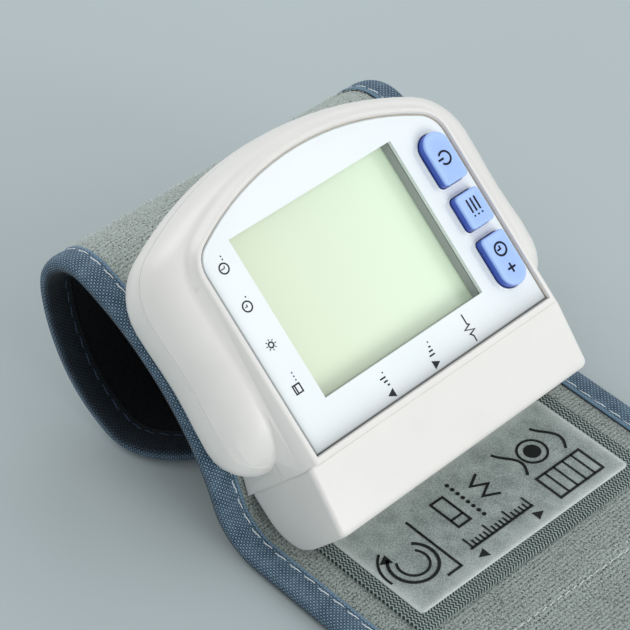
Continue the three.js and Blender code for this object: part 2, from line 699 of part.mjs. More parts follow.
// Tubes: a ring carried along a curve.
function hose(points) {
  const ring = new THREE.Shape();
  ring.absarc(0, 0, tube.outer, 0, 360 * deg, false);
  const bore = new THREE.Path();
  bore.absarc(0, 0, tube.inner, 0, 360 * deg, true);
  ring.holes.push(bore);
  const curve = new THREE.CubicBezierCurve3(...points.map((p) => new THREE.Vector3(...p)));
  return solid(new THREE.ExtrudeGeometry(ring, { steps: 14, curveSegments: 5, bevelEnabled: false, extrudePath: curve }));
}

const pumpHeadEnd = pump.motorLow + pump.motorLength + clearance + pump.headLength;
const slip = nozzleLength / 2;

function pumpMotor() {
  const high = pump.motorLow + pump.motorLength;
  return barAlongY(pump.radius, pump.x, pump.motorLow, high, -pump.depth)
    .add(barAlongY(pump.bossRadius, pump.x, pump.motorLow - pump.bossLength, high, -pump.depth));
}

function pumpHead() {
  const low = pump.motorLow + pump.motorLength + clearance;
  return barAlongY(pump.radius, pump.x, low, pumpHeadEnd, -pump.depth, 8)
    .add(barAlongY(nozzleRadius, pump.x, low, pumpHeadEnd + nozzleLength, -pump.depth));
}

function airManifold() {
  const { x, y } = manifold;
  const reach = manifold.bodyRadius + nozzleLength;
  const bladderTop = underside(x) - clearance - 2 * sheet - clearance;
  const seat = underside(x) + wall + clearance;
  return post(manifold.bodyRadius, x, y, seat, -airDepth + manifold.bodyRadius)
    .add(post(manifold.pipeRadius, x, y, bladderTop, -airDepth))
    .add(post(manifold.flangeRadius, x, y, seat, seat + manifold.flangeThickness))
    .add(barAlongX(nozzleRadius, x - reach, x + reach, y, -airDepth))
    .add(barAlongY(nozzleRadius, x, y - reach, y, -airDepth));
}

function releaseValve() {
  const low = valve.x - valve.length / 2;
  const high = valve.x + valve.length / 2;
  return barAlongX(valve.radius, low, high, valve.y, -valve.depth)
    .add(barAlongX(nozzleRadius, low, high + nozzleLength, valve.y, -airDepth));
}

function pressureSensor() {
  const half = sensor.side / 2;
  return block(sensor.x - half, sensor.x + half, sensor.y - half, sensor.y + half, boardUnder - sensor.height, boardUnder)
    .add(barAlongY(nozzleRadius, sensor.x, sensor.y, sensor.y + half + nozzleLength, -airDepth));
}

// Cuff route: straight and round stretches of the middle of the cuff, from the fold line
// beside the monitor, up under it, over the loop and back along the table.

const deviceMatrix = new THREE.Matrix4().makeRotationY(-tiltAngle * deg).setPosition(0, 0, displayHeight);
const wristCentre = new THREE.Vector3(wristArc.centreX, 0, -wristArc.crownDepth - wristArc.radius)
  .applyMatrix4(deviceMatrix);
const crownRadius = wristArc.radius - clearance - cuffThickness / 2;
const onCrown = (heading) => ({
  x: wristCentre.x - crownRadius * Math.sin(heading * deg),
  z: wristCentre.z + crownRadius * Math.cos(heading * deg)
});
const tableMiddle = cuffThickness / 2;
const riseTop = onCrown(riseAngle);
const riseRadius = (riseTop.z - tableMiddle) / (1 - Math.cos(riseAngle * deg));
const foldX = riseTop.x - riseRadius * Math.sin(riseAngle * deg);
const heightAfter = (z, radius, from, to) => z + radius * (Math.cos(to * deg) - Math.cos(from * deg));
const loopTopEndZ = heightAfter(onCrown(crownLeaveAngle).z, loopTop.radius, crownLeaveAngle, loopTop.endAngle);
const loopBackEndZ = heightAfter(loopTopEndZ, loopBack.radius, loopTop.endAngle, loopBack.endAngle);
const footRadius = (loopBackEndZ - tableMiddle) / (1 + Math.cos(loopBack.endAngle * deg));

const route = [
  { radius: riseRadius, turn: riseAngle },
  { radius: crownRadius, turn: crownLeaveAngle - riseAngle },
  { radius: loopTop.radius, turn: loopTop.endAngle - crownLeaveAngle },
  { radius: loopBack.radius, turn: loopBack.endAngle - loopTop.endAngle },
  { radius: footRadius, turn: -180 - loopBack.endAngle },
  { length: lowerRun, turn: 0 }
];

// Point and heading at a distance along the route.
function routeAt(distance) {
  let x = foldX;
  let z = tableMiddle;
  let heading = 0;
  let left = distance;
  for (const run of route) {
    const length = run.length ?? run.radius * Math.abs(run.turn) * deg;
    const part = run === route[route.length - 1] ? left : Math.min(left, length);
    if (run.turn === 0) {
      x += part * Math.cos(heading);
      z += part * Math.sin(heading);
    } else {
      const side = Math.sign(run.turn);
      const next = heading + side * part / run.radius;
      x += side * run.radius * (Math.sin(next) - Math.sin(heading));
      z -= side * run.radius * (Math.cos(next) - Math.cos(heading));
      heading = next;
    }
    left -= part;
    if (left <= 0) break;
  }
  return { x, z, heading };
}

const routeLength = route.reduce((sum, run) => sum + (run.length ?? run.radius * Math.abs(run.turn) * deg), 0);
const loopStart = (route[0].radius * riseAngle + crownRadius * (riseAngle - crownLeaveAngle)) * deg;

// Half width of the cuff: even up to the loop, then narrower to its short end.
function cuffHalfAt(distance) {
  const share = Math.max(0, (distance - loopStart) / (routeLength - loopStart));
  return cuffHalf + (cuffEndHalf - cuffHalf) * share;
}

// Half width of a sheet whose edge is inset and whose end has round corners.
function halfWithEnd(distance, half, endAt, corner, inset) {
  const radius = corner - inset;
  const past = Math.max(0, distance - (endAt - inset - radius));
  return half - inset - radius + Math.sqrt(Math.max(0, radius * radius - past * past));
}

function stations(from, to, endAt, corner, inset) {
  const list = [from];
  let start = 0;
  for (const run of route) {
    const length = run.length ?? run.radius * Math.abs(run.turn) * deg;
    const count = Math.max(1, Math.ceil(Math.abs(run.turn) / bendStep));
    for (let i = 0; i <= count; i += 1) list.push(start + length * i / count);
    start += length;
  }
  const radius = corner - inset;
  const cornerCount = 6;
  for (let i = 0; i <= cornerCount; i += 1) {
    list.push(endAt - inset - radius + radius * Math.sin(90 * deg * i / cornerCount));
  }
  list.push(to);
  const kept = list.filter((s) => s >= from && s <= to).sort((a, b) => a - b);
  return kept.filter((s, i) => i === 0 || s - kept[i - 1] > 1e-3 * cuffThickness);
}

// A sheet of the cuff, laid out flat and bent along the route. Its section is a flat
// bar, or one with chamfered edges.
function bentSheet(from, inset, low, high, chamfer = 0) {
  const to = routeLength - inset;
  const rings = stations(from, to, routeLength, cuffEndCorner, inset).map((s) => {
    const half = halfWithEnd(s, cuffHalfAt(s), routeLength, cuffEndCorner, inset);
    const { x, z, heading } = routeAt(s);
    return sectionPoints(half, low, high, chamfer).map(([y, t]) => new THREE.Vector3(
      x - t * Math.sin(heading), y, z + t * Math.cos(heading)
    ));
  });
  return solid(loft(rings, seenAlongSheet));
}

const seenAlongSheet = (p) => new THREE.Vector2(p.y, p.z);

function sectionPoints(half, low, high, chamfer) {
  if (chamfer === 0) return [[half, low], [half, high], [-half, high], [-half, low]];
  const cut = chamfer;
  return [
    [half - cut, low], [half, low + cut], [half, high - cut], [half - cut, high],
    [cut - half, high], [-half, high - cut], [-half, low + cut], [cut - half, low]
  ];
}

// Binding: a tape folded over the edge. The stack's middle sheets run into the fold, and
// its face sheets stop at the tape's edges.
function foldedTape(outer, slot, opening) {
  return outer.subtract(slot).subtract(opening);
}

const slotHalf = cuffThickness / 2 - sheet;
const hingeSeat = cuffThickness / 2;
const beadRadius = cuffThickness / 2 - clearance;
const faceInset = bindingWidth + clearance;
const coreInset = sheet + clearance;

function cuffBinding() {
  const reach = cuffThickness / 2;
  return foldedTape(
    bentSheet(hingeSeat, 0, -reach, reach, bindingChamfer),
    bentSheet(hingeSeat - overrun / 2, sheet, -slotHalf, slotHalf),
    bentSheet(hingeSeat - overrun / 2, bindingWidth, -reach - overrun / 4, reach + overrun / 4)
  );
}

function inWorld(body) {
  const geometry = geometryOf(body);
  geometry.applyMatrix4(deviceMatrix);
  return solid(geometry);
}

// Holes and pegs cross the cuff square to the monitor.
function crossing(radius, x, y, top) {
  return inWorld(post(radius, x, y, underside(x) - 2 * cuffThickness, top));
}

function pierced(body, extra, pegsToo) {
  const top = underside(manifold.x) + overrun;
  let open = body.subtract(crossing(manifold.pipeRadius + extra, manifold.x, manifold.y, top));
  if (!pegsToo) return open;
  for (const side of [1, -1]) {
    open = open.subtract(crossing(peg.radius + extra, peg.x, side * peg.y, top));
  }
  return open;
}

const reachOut = cuffThickness / 2;

function cuffOuterCloth() {
  return pierced(bentSheet(hingeSeat, faceInset, reachOut - sheet, reachOut), 2 * clearance, true);
}

// The sprung plate that keeps the cuff's C shape, with two pegs into the back case.
function cuffStiffener() {
  const high = reachOut - sheet - clearance;
  let body = pierced(bentSheet(hingeSeat, coreInset, high - sheet, high), 2 * clearance, false);
  for (const side of [1, -1]) {
    const low = underside(peg.x) - clearance - sheet - clearance - sheet / 2;
    body = body.add(inWorld(post(peg.radius, peg.x, side * peg.y, low, underside(peg.x) + wall + peg.rise)));
  }
  return body;
}

// The air bladder, with a rolled edge that the tail folds round.
function airBladder() {
  const high = -clearance / 2;
  const half = cuffHalf - coreInset;
  return bentSheet(0, coreInset, high - sheet, high)
    .add(barAlongY(beadRadius, foldX, -half, half, tableMiddle, 16));
}

function cuffLining() {
  return bentSheet(hingeSeat, faceInset, -reachOut, -reachOut + sheet);
}

// Tail: the flat stretch beside the monitor, which folds at the fold line.

function flatSheet(nearX, farX, half, lowZ, highZ, chamfer = 0) {
  const rings = [nearX, farX].map((x) => sectionPoints(half, lowZ, highZ, chamfer)
    .map(([y, z]) => new THREE.Vector3(x, y, z)));
  return solid(loft(rings, seenAlongSheet));
}

const tailNear = foldX - hingeSeat;
const flapMiddle = flapThickness / 2;
const flapSeat = flapThickness / 2;
const flapBead = flapMiddle - clearance;
const tailFar = foldX - tailLength + flapSeat;
const flapFoldX = foldX - tailLength;

function tailBinding(side) {
  const whole = foldedTape(
    flatSheet(tailNear, tailFar, cuffHalf, 0, cuffThickness, bindingChamfer),
    flatSheet(tailNear + overrun, tailFar - overrun, cuffHalf - sheet, sheet, cuffThickness - sheet),
    flatSheet(tailNear + overrun, tailFar - overrun, cuffHalf - bindingWidth, -overrun, cuffThickness + overrun)
  );
  const reach = side * (cuffHalf + overrun);
  const [low, high] = side > 0 ? [0, reach] : [reach, 0];
  return whole.intersect(block(tailFar - overrun, tailNear + overrun, low, high, -overrun, cuffThickness + overrun));
}

function tailBladder() {
  const low = sheet + clearance;
  const half = cuffHalf - coreInset;
  const web = flatSheet(tailFar + flapSeat, flapFoldX, half, low, flapMiddle + flapBead / 2);
  return flatSheet(tailNear, tailFar, half, low, cuffThickness - low)
    .add(web)
    .add(barAlongY(flapBead, flapFoldX, -half, half, flapMiddle, 12));
}

// Printed instruction label in its woven frame, sewn on the tail.
const labelFoot = cuffThickness + clearance;
const labelPlan = (shape, grow) => roundedOutline(-shape.far - grow, -shape.near + grow, -shape.half - grow,
  shape.half + grow, shape.corner, shape.corner);

function meshLabelFrame() {
  const high = labelFoot + meshFrame.thickness;
  return slab(labelPlan(meshFrame, 0), labelFoot, high)
    .subtract(slab(labelPlan(label, clearance), labelFoot - overrun, high + overrun));
}

// Flap: the thin end of the cuff, with a hook patch on its inner side.

const flapFar = flapFoldX - flapLength;
const flapNear = flapFoldX - flapSeat;

function flapSheetBody(nearX, inset, lowZ, highZ, chamfer = 0, farX = flapFar + inset) {
  const list = [nearX];
  const radius = flapCorner - inset;
  const steps = 6;
  for (let i = 0; i <= steps; i += 1) {
    list.push(flapFar + inset + radius - radius * Math.sin(90 * deg * i / steps));
  }
  const kept = list.filter((x) => x <= nearX && x > farX);
  kept.push(farX);
  const rings = kept.map((x) => {
    const half = halfWithEnd(-x, cuffHalf, -flapFar, flapCorner, inset);
    return sectionPoints(half, lowZ, highZ, chamfer).map(([y, z]) => new THREE.Vector3(x, y, z));
  });
  return solid(loft(rings, seenAlongSheet));
}

const flapChamfer = flapSheet / 2;
const flapFaceInset = bindingWidth + clearance;
const flapCoreInset = flapSheet + clearance;

function flapBinding() {
  return foldedTape(
    flapSheetBody(flapNear, 0, 0, flapThickness, flapChamfer),
    flapSheetBody(flapNear + overrun, flapSheet, flapSheet, flapThickness - flapSheet),
    flapSheetBody(flapNear + overrun, bindingWidth, -overrun, flapThickness + overrun)
  );
}

const hookNear = flapFar + flapFaceInset + hookLength;

// Assembly

const monitor = new THREE.Group();
monitor.position.set(0, 0, displayHeight);
monitor.rotation.y = -tiltAngle * deg;

piece(monitor, 'front_case', frontCase(), ivory);
piece(monitor, 'back_case', backCase(), ivory);
piece(monitor, 'battery_cover', batteryCover(), ivory);
piece(monitor, 'face_panel', facePanel(), panelWhite);
piece(monitor, 'lcd_frame', lcdFrame(), frameGrey);
piece(monitor, 'lcd_glass', displayBlock(glass.lap, -glass.depth - glass.thickness, -glass.depth), displayGreen);
piece(monitor, 'circuit_board', circuitBoard(), boardGreen);
piece(monitor, 'controller_chip', block(chip.x - chip.side / 2, chip.x + chip.side / 2, chip.y - chip.side / 2,
  chip.y + chip.side / 2, boardUnder - chip.height, boardUnder), blackPlastic);
Object.entries(buttonSpans).forEach(([name, span], i) => {
  piece(monitor, name, buttonCap(span), buttonBlue);
  piece(monitor, `tact_switch_${i + 1}`, tactSwitchBody(span), blackPlastic);
});
piece(monitor, 'battery_tray', batteryTray(), ivory);
for (const { name, x, way, spring, plate } of cells) {
  piece(monitor, name, cellShape(x, way), cellWrap);
  piece(monitor, spring, contactSpring(x, way), steel);
  piece(monitor, plate, contactPlate(x, way), steel);
}
piece(monitor, 'pump_motor', pumpMotor(), steel);
piece(monitor, 'pump_head', pumpHead(), blackPlastic);
piece(monitor, 'release_valve', releaseValve(), steel);
piece(monitor, 'pressure_sensor', pressureSensor(), blackPlastic);
piece(monitor, 'air_manifold', airManifold(), springPlate);
piece(monitor, 'buzzer', post(buzzer.radius, buzzer.x, buzzer.y, boardUnder - buzzer.height, boardUnder), blackPlastic);

const lineX = manifold.x + manifold.bodyRadius + slip;
const lineLow = manifold.x - manifold.bodyRadius - slip;
const branchY = manifold.y - manifold.bodyRadius - slip;
const valveEnd = valve.x + valve.length / 2 + slip;
const sensorEnd = sensor.y + sensor.side / 2 + slip;
const turnReach = 2 * (tube.outer + tube.inner);
piece(monitor, 'pump_tube', hose([
  [pump.x, pumpHeadEnd + slip, -pump.depth], [pump.x, manifold.y - tube.outer / 2, -pump.depth],
  [pump.x - tube.outer, manifold.y, -airDepth], [lineX, manifold.y, -airDepth]
]), silicone);
piece(monitor, 'valve_tube', hose([
  [lineLow, manifold.y, -airDepth], [lineLow - slip / 2, manifold.y, -airDepth],
  [valveEnd + slip / 2, manifold.y, -airDepth], [valveEnd, manifold.y, -airDepth]
]), silicone);
piece(monitor, 'sensor_tube', hose([
  [manifold.x, branchY, -airDepth], [manifold.x, branchY - turnReach / 2, -airDepth],
  [sensor.x, sensorEnd + turnReach / 2, -airDepth], [sensor.x, sensorEnd, -airDepth]
]), silicone);
screwPlaces.forEach(([x, y], i) => piece(monitor, `case_screw_${i + 1}`, caseScrew(x, y), steel));

const cuff = new THREE.Group();
piece(cuff, 'cuff_outer_cloth', cuffOuterCloth(), clothGrey);
piece(cuff, 'cuff_stiffener', cuffStiffener(), springPlate);
piece(cuff, 'air_bladder', airBladder(), bladderBlue);
piece(cuff, 'cuff_lining', cuffLining(), liningNavy);
piece(cuff, 'cuff_binding', cuffBinding(), bindingBlue);

const tailFace = cuffHalf - faceInset;
piece(cuff, 'tail_outer_cloth', flatSheet(tailNear, tailFar, tailFace, cuffThickness - sheet, cuffThickness), clothGrey);
piece(cuff, 'tail_bladder', tailBladder(), bladderBlue);
piece(cuff, 'tail_lining', flatSheet(tailNear, tailFar, tailFace, 0, sheet), liningNavy);
piece(cuff, 'tail_binding_left', tailBinding(1), bindingBlue);
piece(cuff, 'tail_binding_right', tailBinding(-1), bindingBlue);
piece(cuff, 'label_mesh_frame', meshLabelFrame(), meshGreen);
piece(cuff, 'instruction_label', slab(labelPlan(label, 0), labelFoot, labelFoot + label.thickness), labelGrey);

piece(cuff, 'flap_outer_cloth', flapSheetBody(flapNear, flapFaceInset, flapThickness - flapSheet, flapThickness),
  clothGrey);
piece(cuff, 'flap_interlining', flapSheetBody(flapNear, flapCoreInset, flapSheet + clearance,
  flapThickness - flapSheet - clearance), bladderBlue);
piece(cuff, 'flap_lining', flapSheetBody(flapNear, flapFaceInset, 0, flapSheet, 0, hookNear + clearance), liningNavy);
piece(cuff, 'hook_patch', flapSheetBody(hookNear, flapFaceInset, 0, flapSheet), hookBlack);
piece(cuff, 'flap_binding', flapBinding(), bindingBlue);

const model = new THREE.Group();
model.add(monitor, cuff);
model.updateMatrixWorld(true);
const box = new THREE.Box3().setFromObject(model, true);
model.position.set(-(box.min.x + box.max.x) / 2, 0, -box.min.z);
model.updateMatrixWorld(true);

export default model;
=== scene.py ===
import json
import math

import bmesh
import bpy
import numpy as np
from mathutils import Matrix, Vector

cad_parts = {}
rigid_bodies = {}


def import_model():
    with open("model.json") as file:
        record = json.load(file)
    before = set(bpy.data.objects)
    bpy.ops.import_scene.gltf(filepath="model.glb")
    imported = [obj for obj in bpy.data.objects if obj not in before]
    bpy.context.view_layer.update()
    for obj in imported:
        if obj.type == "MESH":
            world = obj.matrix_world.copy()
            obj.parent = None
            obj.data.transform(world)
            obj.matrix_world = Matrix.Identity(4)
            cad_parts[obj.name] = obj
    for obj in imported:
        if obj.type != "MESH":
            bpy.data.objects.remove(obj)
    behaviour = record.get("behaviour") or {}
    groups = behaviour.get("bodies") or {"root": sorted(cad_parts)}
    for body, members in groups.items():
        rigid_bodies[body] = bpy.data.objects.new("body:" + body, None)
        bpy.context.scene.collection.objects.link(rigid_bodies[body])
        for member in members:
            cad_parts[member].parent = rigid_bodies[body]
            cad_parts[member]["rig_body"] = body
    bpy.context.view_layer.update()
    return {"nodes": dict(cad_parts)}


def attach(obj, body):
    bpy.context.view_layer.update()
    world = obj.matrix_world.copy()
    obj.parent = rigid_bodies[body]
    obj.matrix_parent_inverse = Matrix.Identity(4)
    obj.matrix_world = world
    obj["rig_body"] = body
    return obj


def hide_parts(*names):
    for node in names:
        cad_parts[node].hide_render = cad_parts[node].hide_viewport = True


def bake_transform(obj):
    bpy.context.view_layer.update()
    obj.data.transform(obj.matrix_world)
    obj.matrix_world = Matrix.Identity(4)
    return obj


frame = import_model()
nodes = frame["nodes"]

# Wrist blood pressure monitor, standing on its folded cuff. Lengths in this script are
# millimetres until a mesh is made, which turns them into metres.

MM = 0.001
ROOT_BODY, TAIL_BODY, FLAP_BODY = "monitor_and_cuff", "cuff_tail", "cuff_flap"

# Stance of the monitor in the part's frame.
TILT = math.radians(40.1)
DISPLAY_AT = (55.787, 0.0, 42.7)

# Cuff route: straight and round stretches of the cuff's middle surface from the fold
# line, each a radius and a turn in degrees, or a length.
CUFF_THICK = 3.3
MIDDLE = CUFF_THICK / 2
FOLD_X = 43.036
ROUTE = [(10.8695, 70.9), (50.05, -54.9), (12.0, -106.0), (35.0, -28.0), (20.8849, -62.0)]
LOWER_RUN = 9.5
CUFF_HALF = 39.3
CUFF_END_HALF = 37.2
CUFF_END_CORNER = 17.0
TAIL = 41.8
FLAP = 105.0
FLAP_THICK = 2.1
FLAP_CORNER = 12.0
TAPE = 5.3
SPLIT = 4.0

# The loop's lean past its crown: where it starts, the run over which it grows, how far
# the loop moves in, and its turn.
LEAN_FROM = 56
LEAN_RUN = 20
LEAN_IN = 1.9
LEAN_TURN = 0.0155

ROUTE_END = sum(r * math.radians(abs(t)) for r, t in ROUTE) + LOWER_RUN
TAPER_FROM = sum(r * math.radians(abs(t)) for r, t in ROUTE[:2])
FLAP_END = -(TAIL + FLAP)
CUT = -(TAIL - SPLIT)


# Places

def body_way(x, y, z):
    """A direction of the monitor's own frame, in the part's frame."""
    c, s = math.cos(TILT), math.sin(TILT)
    return x * c - z * s, y, x * s + z * c


def on_body(p):
    """Monitor's own frame to the part's frame: a turn by the tilt about Y, then a shift."""
    p = np.asarray(p, float)
    x, y, z = p[..., 0], p[..., 1], p[..., 2]
    c, s = math.cos(TILT), math.sin(TILT)
    return np.stack([DISPLAY_AT[0] + x * c - z * s, y + DISPLAY_AT[1], DISPLAY_AT[2] + x * s + z * c], -1)


def route(s):
    """Point and heading of the cuff's middle surface at arc length s. Each stretch turns
    evenly, so heading grows by s / r and the point follows the circle's sine and cosine.
    Before the fold line the cuff lies straight on the table."""
    s = np.asarray(s, float)
    x = FOLD_X + np.minimum(s, 0)
    z = np.full_like(s, MIDDLE)
    heading = np.zeros_like(s)
    left = np.maximum(s, 0)
    for radius, turn in ROUTE:
        part = np.minimum(left, radius * math.radians(abs(turn)))
        side = math.copysign(1, turn)
        after = heading + side * part / radius
        x = x + side * radius * (np.sin(after) - np.sin(heading))
        z = z - side * radius * (np.cos(after) - np.cos(heading))
        heading = after
        left = left - part
    return x + left * np.cos(heading), z + left * np.sin(heading), heading


def eased(share):
    """A share from 0 to 1 with a soft start and end: u * u * (3 - 2 u)."""
    share = np.clip(share, 0, 1)
    return share * share * (3 - 2 * share)


def on_cuff(points):
    """Cuff coordinates to the part's frame: s along, y across, t out of the middle surface
    along its normal. Past the crown the loop sits a little closer and askew: x falls by an
    eased share of LEAN_IN - LEAN_TURN * y."""
    points = np.asarray(points, float)
    s, y, t = points[..., 0], points[..., 1], points[..., 2]
    x, z, heading = route(s)
    x = x - eased((s - LEAN_FROM) / LEAN_RUN) * (LEAN_IN - LEAN_TURN * y)
    return np.stack([x - t * np.sin(heading), y, z + t * np.cos(heading)], -1)


def cuff_half(s):
    """Half width: even to the loop, then drawn in evenly to the short end."""
    share = np.clip((np.asarray(s, float) - TAPER_FROM) / (ROUTE_END - TAPER_FROM), 0, 1)
    return CUFF_HALF + (CUFF_END_HALF - CUFF_HALF) * share


def outline_half(s, inset):
    """Half width of a sheet whose edge lies inset from the cuff's edge, with the round
    corners of the loop's end and of the flap's end taken off."""
    s = np.asarray(s, float)
    half = cuff_half(s) - inset
    for end, corner, way in ((ROUTE_END, CUFF_END_CORNER, 1), (FLAP_END, FLAP_CORNER, -1)):
        radius = corner - inset
        past = np.clip(way * (s - end) + inset + radius, 0, radius)
        half = half - radius + np.sqrt(np.maximum(radius ** 2 - past ** 2, 0))
    return half


def top_of(s):
    """Height of the upper face over the middle surface: the tail's, falling smoothly to
    the thinner flap just past the stitched fold."""
    step_run = 3.0
    return MIDDLE - (CUFF_THICK - FLAP_THICK) * eased((-TAIL - np.asarray(s, float)) / step_run)


def below_top(depth):
    """The height that lies a depth under the upper face, as a function of s."""
    return lambda s: top_of(s) - depth


def height_at(height, s):
    """A height over the middle surface, given as one number or as a function of s."""
    return height(s) if callable(height) else height


# Meshes

JOIN_WITHIN = 0.002 * MM

# Edges sharper than these angles, in degrees, stay crisp.
MARK_CRISP = 30
COPY_CRISP = 32
SHELL_CRISP = 35
CAP_CRISP = 40
SOFT_CRISP = 50
TAPE_CRISP = 60


def finished(mesh, name, body, material, crisp, node=None):
    """The mesh as a piece of the object: shaded smooth but for edges sharper than the
    crisp angle, on its body, in its material's slot, in place of its solid or solids."""
    mesh.polygons.foreach_set("use_smooth", np.ones(len(mesh.polygons), bool))
    mesh.set_sharp_from_angle(angle=math.radians(crisp))
    mesh.materials.clear()
    mesh.materials.append(material)
    piece = bpy.data.objects.new(name, mesh)
    bpy.context.scene.collection.objects.link(piece)
    if body:
        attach(piece, body)
    for one in ([node] if isinstance(node, str) else node or []):
        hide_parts(one)
    return piece


def mesh_object(name, shape, body, material, crisp, node=None, mapped=None):
    """One piece from millimetre points and face lists, its normals outwards. mapped gives
    each point a place on the piece's own map, in millimetres. Without it, points that
    meet are joined."""
    points, faces = shape
    mesh = bpy.data.meshes.new(name)
    mesh.from_pydata((np.asarray(points, float) * MM).tolist(), [], [list(map(int, f)) for f in faces])
    if mapped is not None:
        layer = mesh.uv_layers.new(name="UVMap")
        corners = np.zeros(len(mesh.loops), int)
        mesh.loops.foreach_get("vertex_index", corners)
        layer.data.foreach_set("uv", np.asarray(mapped, float)[corners].ravel())
    work = bmesh.new()
    work.from_mesh(mesh)
    if mapped is None:
        bmesh.ops.remove_doubles(work, verts=work.verts, dist=JOIN_WITHIN)
    bmesh.ops.recalc_face_normals(work, faces=work.faces)
    work.to_mesh(mesh)
    work.free()
    return finished(mesh, name, body, material, crisp, node)


def quads(near, far):
    """Faces between rows of point numbers, each row closed into a ring."""
    corners = [near, np.roll(near, -1, axis=-1), np.roll(far, -1, axis=-1), far]
    return np.stack(corners, -1).reshape(-1, 4).tolist()


def skin(rings):
    """Points and faces of a closed skin over equal rings, its ends filled flat."""
    rings = np.asarray(rings, float)
    index = np.arange(rings.shape[0] * rings.shape[1]).reshape(rings.shape[:2])
    ends = [index[0].tolist(), index[-1, ::-1].tolist()]
    return rings.reshape(-1, 3), quads(index[:-1], index[1:]) + ends


def ring_skin(rings):
    """Points and faces of sections joined into a closed ring."""
    rings = np.asarray(rings, float)
    index = np.arange(rings.shape[0] * rings.shape[1]).reshape(rings.shape[:2])
    return rings.reshape(-1, 3), quads(index, np.roll(index, -1, axis=0))


def joined(shapes):
    """Several point and face sets as one."""
    points, faces, base = [], [], 0
    for p, f in shapes:
        points.append(np.asarray(p, float))
        faces += [[base + i for i in face] for face in f]
        base += len(p)
    return np.concatenate(points), faces


def carried(shape, onto):
    """A shape with its points carried by a function."""
    points, faces = shape
    return onto(points), faces


def at_height(outline, z):
    """A plan outline as points at one height."""
    return np.concatenate([outline, np.full((len(outline), 1), z)], 1)


def merged_copy(name, material):
    """A solid's own shape with its corners joined, so that its rounded faces shade
    smoothly."""
    mesh = nodes[name].data.copy()
    work = bmesh.new()
    work.from_mesh(mesh)
    bmesh.ops.remove_doubles(work, verts=work.verts, dist=JOIN_WITHIN)
    bmesh.ops.dissolve_limit(work, angle_limit=math.radians(0.5), verts=work.verts, edges=work.edges)
    work.to_mesh(mesh)
    work.free()
    return finished(mesh, name + "_shell", nodes[name]["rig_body"], material, COPY_CRISP, name)


# Materials

def srgb(r, g, b):
    """Colour as written on a screen, 0 to 255, to the linear values a shader takes."""
    c = np.array([r, g, b]) / 255
    return tuple(np.where(c <= 0.04045, c / 12.92, ((c + 0.055) / 1.055) ** 2.4)) + (1.0,)


def toned(colour, share, lift=0.0):
    """A screen colour's linear values times a share, plus a lift."""
    return tuple(min(1, share * c + lift) for c in srgb(*colour)[:3]) + (1.0,)


def surface(name, roughness, metallic=0.0, **sockets):
    """A new material with its shader, the sockets named by words set to plain values."""
    material = bpy.data.materials.new(name)
    material.use_nodes = True
    tree = material.node_tree
    shader = tree.nodes["Principled BSDF"]
    shader.inputs["Roughness"].default_value = roughness
    shader.inputs["Metallic"].default_value = metallic
    for key, value in sockets.items():
        shader.inputs[key.replace("_", " ")].default_value = value
    return material, tree, shader


def add(tree, kind, inputs=None, **settings):
    """A new node with its settings, its inputs linked to sockets or set to values."""
    node = tree.nodes.new(kind)
    for key, value in settings.items():
        setattr(node, key, value)
    for key, value in (inputs or {}).items():
        if isinstance(value, bpy.types.NodeSocket):
            tree.links.new(value, node.inputs[key])
        else:
            node.inputs[key].default_value = value
    return node


def place(tree, scale=(1, 1, 1), source="Object"):
    """Coordinates in millimetres on the piece, or on its own map, scaled."""
    coordinates = add(tree, "ShaderNodeTexCoord")
    mapping = add(tree, "ShaderNodeMapping", {"Vector": coordinates.outputs[source]})
    mapping.inputs["Scale"].default_value = [k / MM for k in scale] if source == "Object" else scale
    return mapping.outputs["Vector"]


def axes(tree, vector):
    """The three coordinates of a vector."""
    return list(add(tree, "ShaderNodeSeparateXYZ", {"Vector": vector}).outputs)


def noise(tree, vector, scale, detail, rough=0.5):
    """Soft noise from 0 to 1, its scale in waves per millimetre."""
    inputs = {"Vector": vector, "Scale": scale, "Detail": detail, "Roughness": rough}
    return add(tree, "ShaderNodeTexNoise", inputs).outputs["Fac"]


def ramp(tree, factor, *stops):
    """A colour that follows a factor through stops, each a place and a colour."""
    node = add(tree, "ShaderNodeValToRGB", {"Fac": factor})
    elements = node.color_ramp.elements
    while len(elements) < len(stops):
        elements.new(0.5)
    for element, (at, colour) in zip(elements, stops):
        element.position = at
        element.color = colour
    return node.outputs["Color"]


def formula(tree, operation, a, b=None, clamp=False):
    """One step of arithmetic on values or sockets."""
    inputs = {0: a} if b is None else {0: a, 1: b}
    return add(tree, "ShaderNodeMath", inputs, operation=operation, use_clamp=clamp).outputs[0]


def times(tree, a, b, clamp=False):
    """a * b, kept between 0 and 1 when clamp is set."""
    return formula(tree, "MULTIPLY", a, b, clamp)


def minus(tree, a, b):
    """a - b."""
    return formula(tree, "SUBTRACT", a, b)


def plus(tree, total, *terms):
    """The sum of all terms."""
    for term in terms:
        total = formula(tree, "ADD", total, term)
    return total


def swing(tree, factor, reach):
    """A factor from 0 to 1 turned into a swing about zero: (factor - 1 / 2) * reach."""
    return times(tree, minus(tree, factor, 0.5), reach)


def mix(tree, factor, a, b):
    """Colour a, and colour b by the factor."""
    return add(tree, "ShaderNodeMix", {0: factor, 6: a, 7: b}, data_type="RGBA").outputs[2]


def painted(tree, shader, colour):
    """The colour on the shader."""
    tree.links.new(colour, shader.inputs["Base Color"])


def bumped(tree, shader, height, strength, distance):
    """Fine relief from a height, its distance in millimetres."""
    bump = add(tree, "ShaderNodeBump", {"Height": height, "Strength": strength, "Distance": distance * MM})
    tree.links.new(bump.outputs["Normal"], shader.inputs["Normal"])


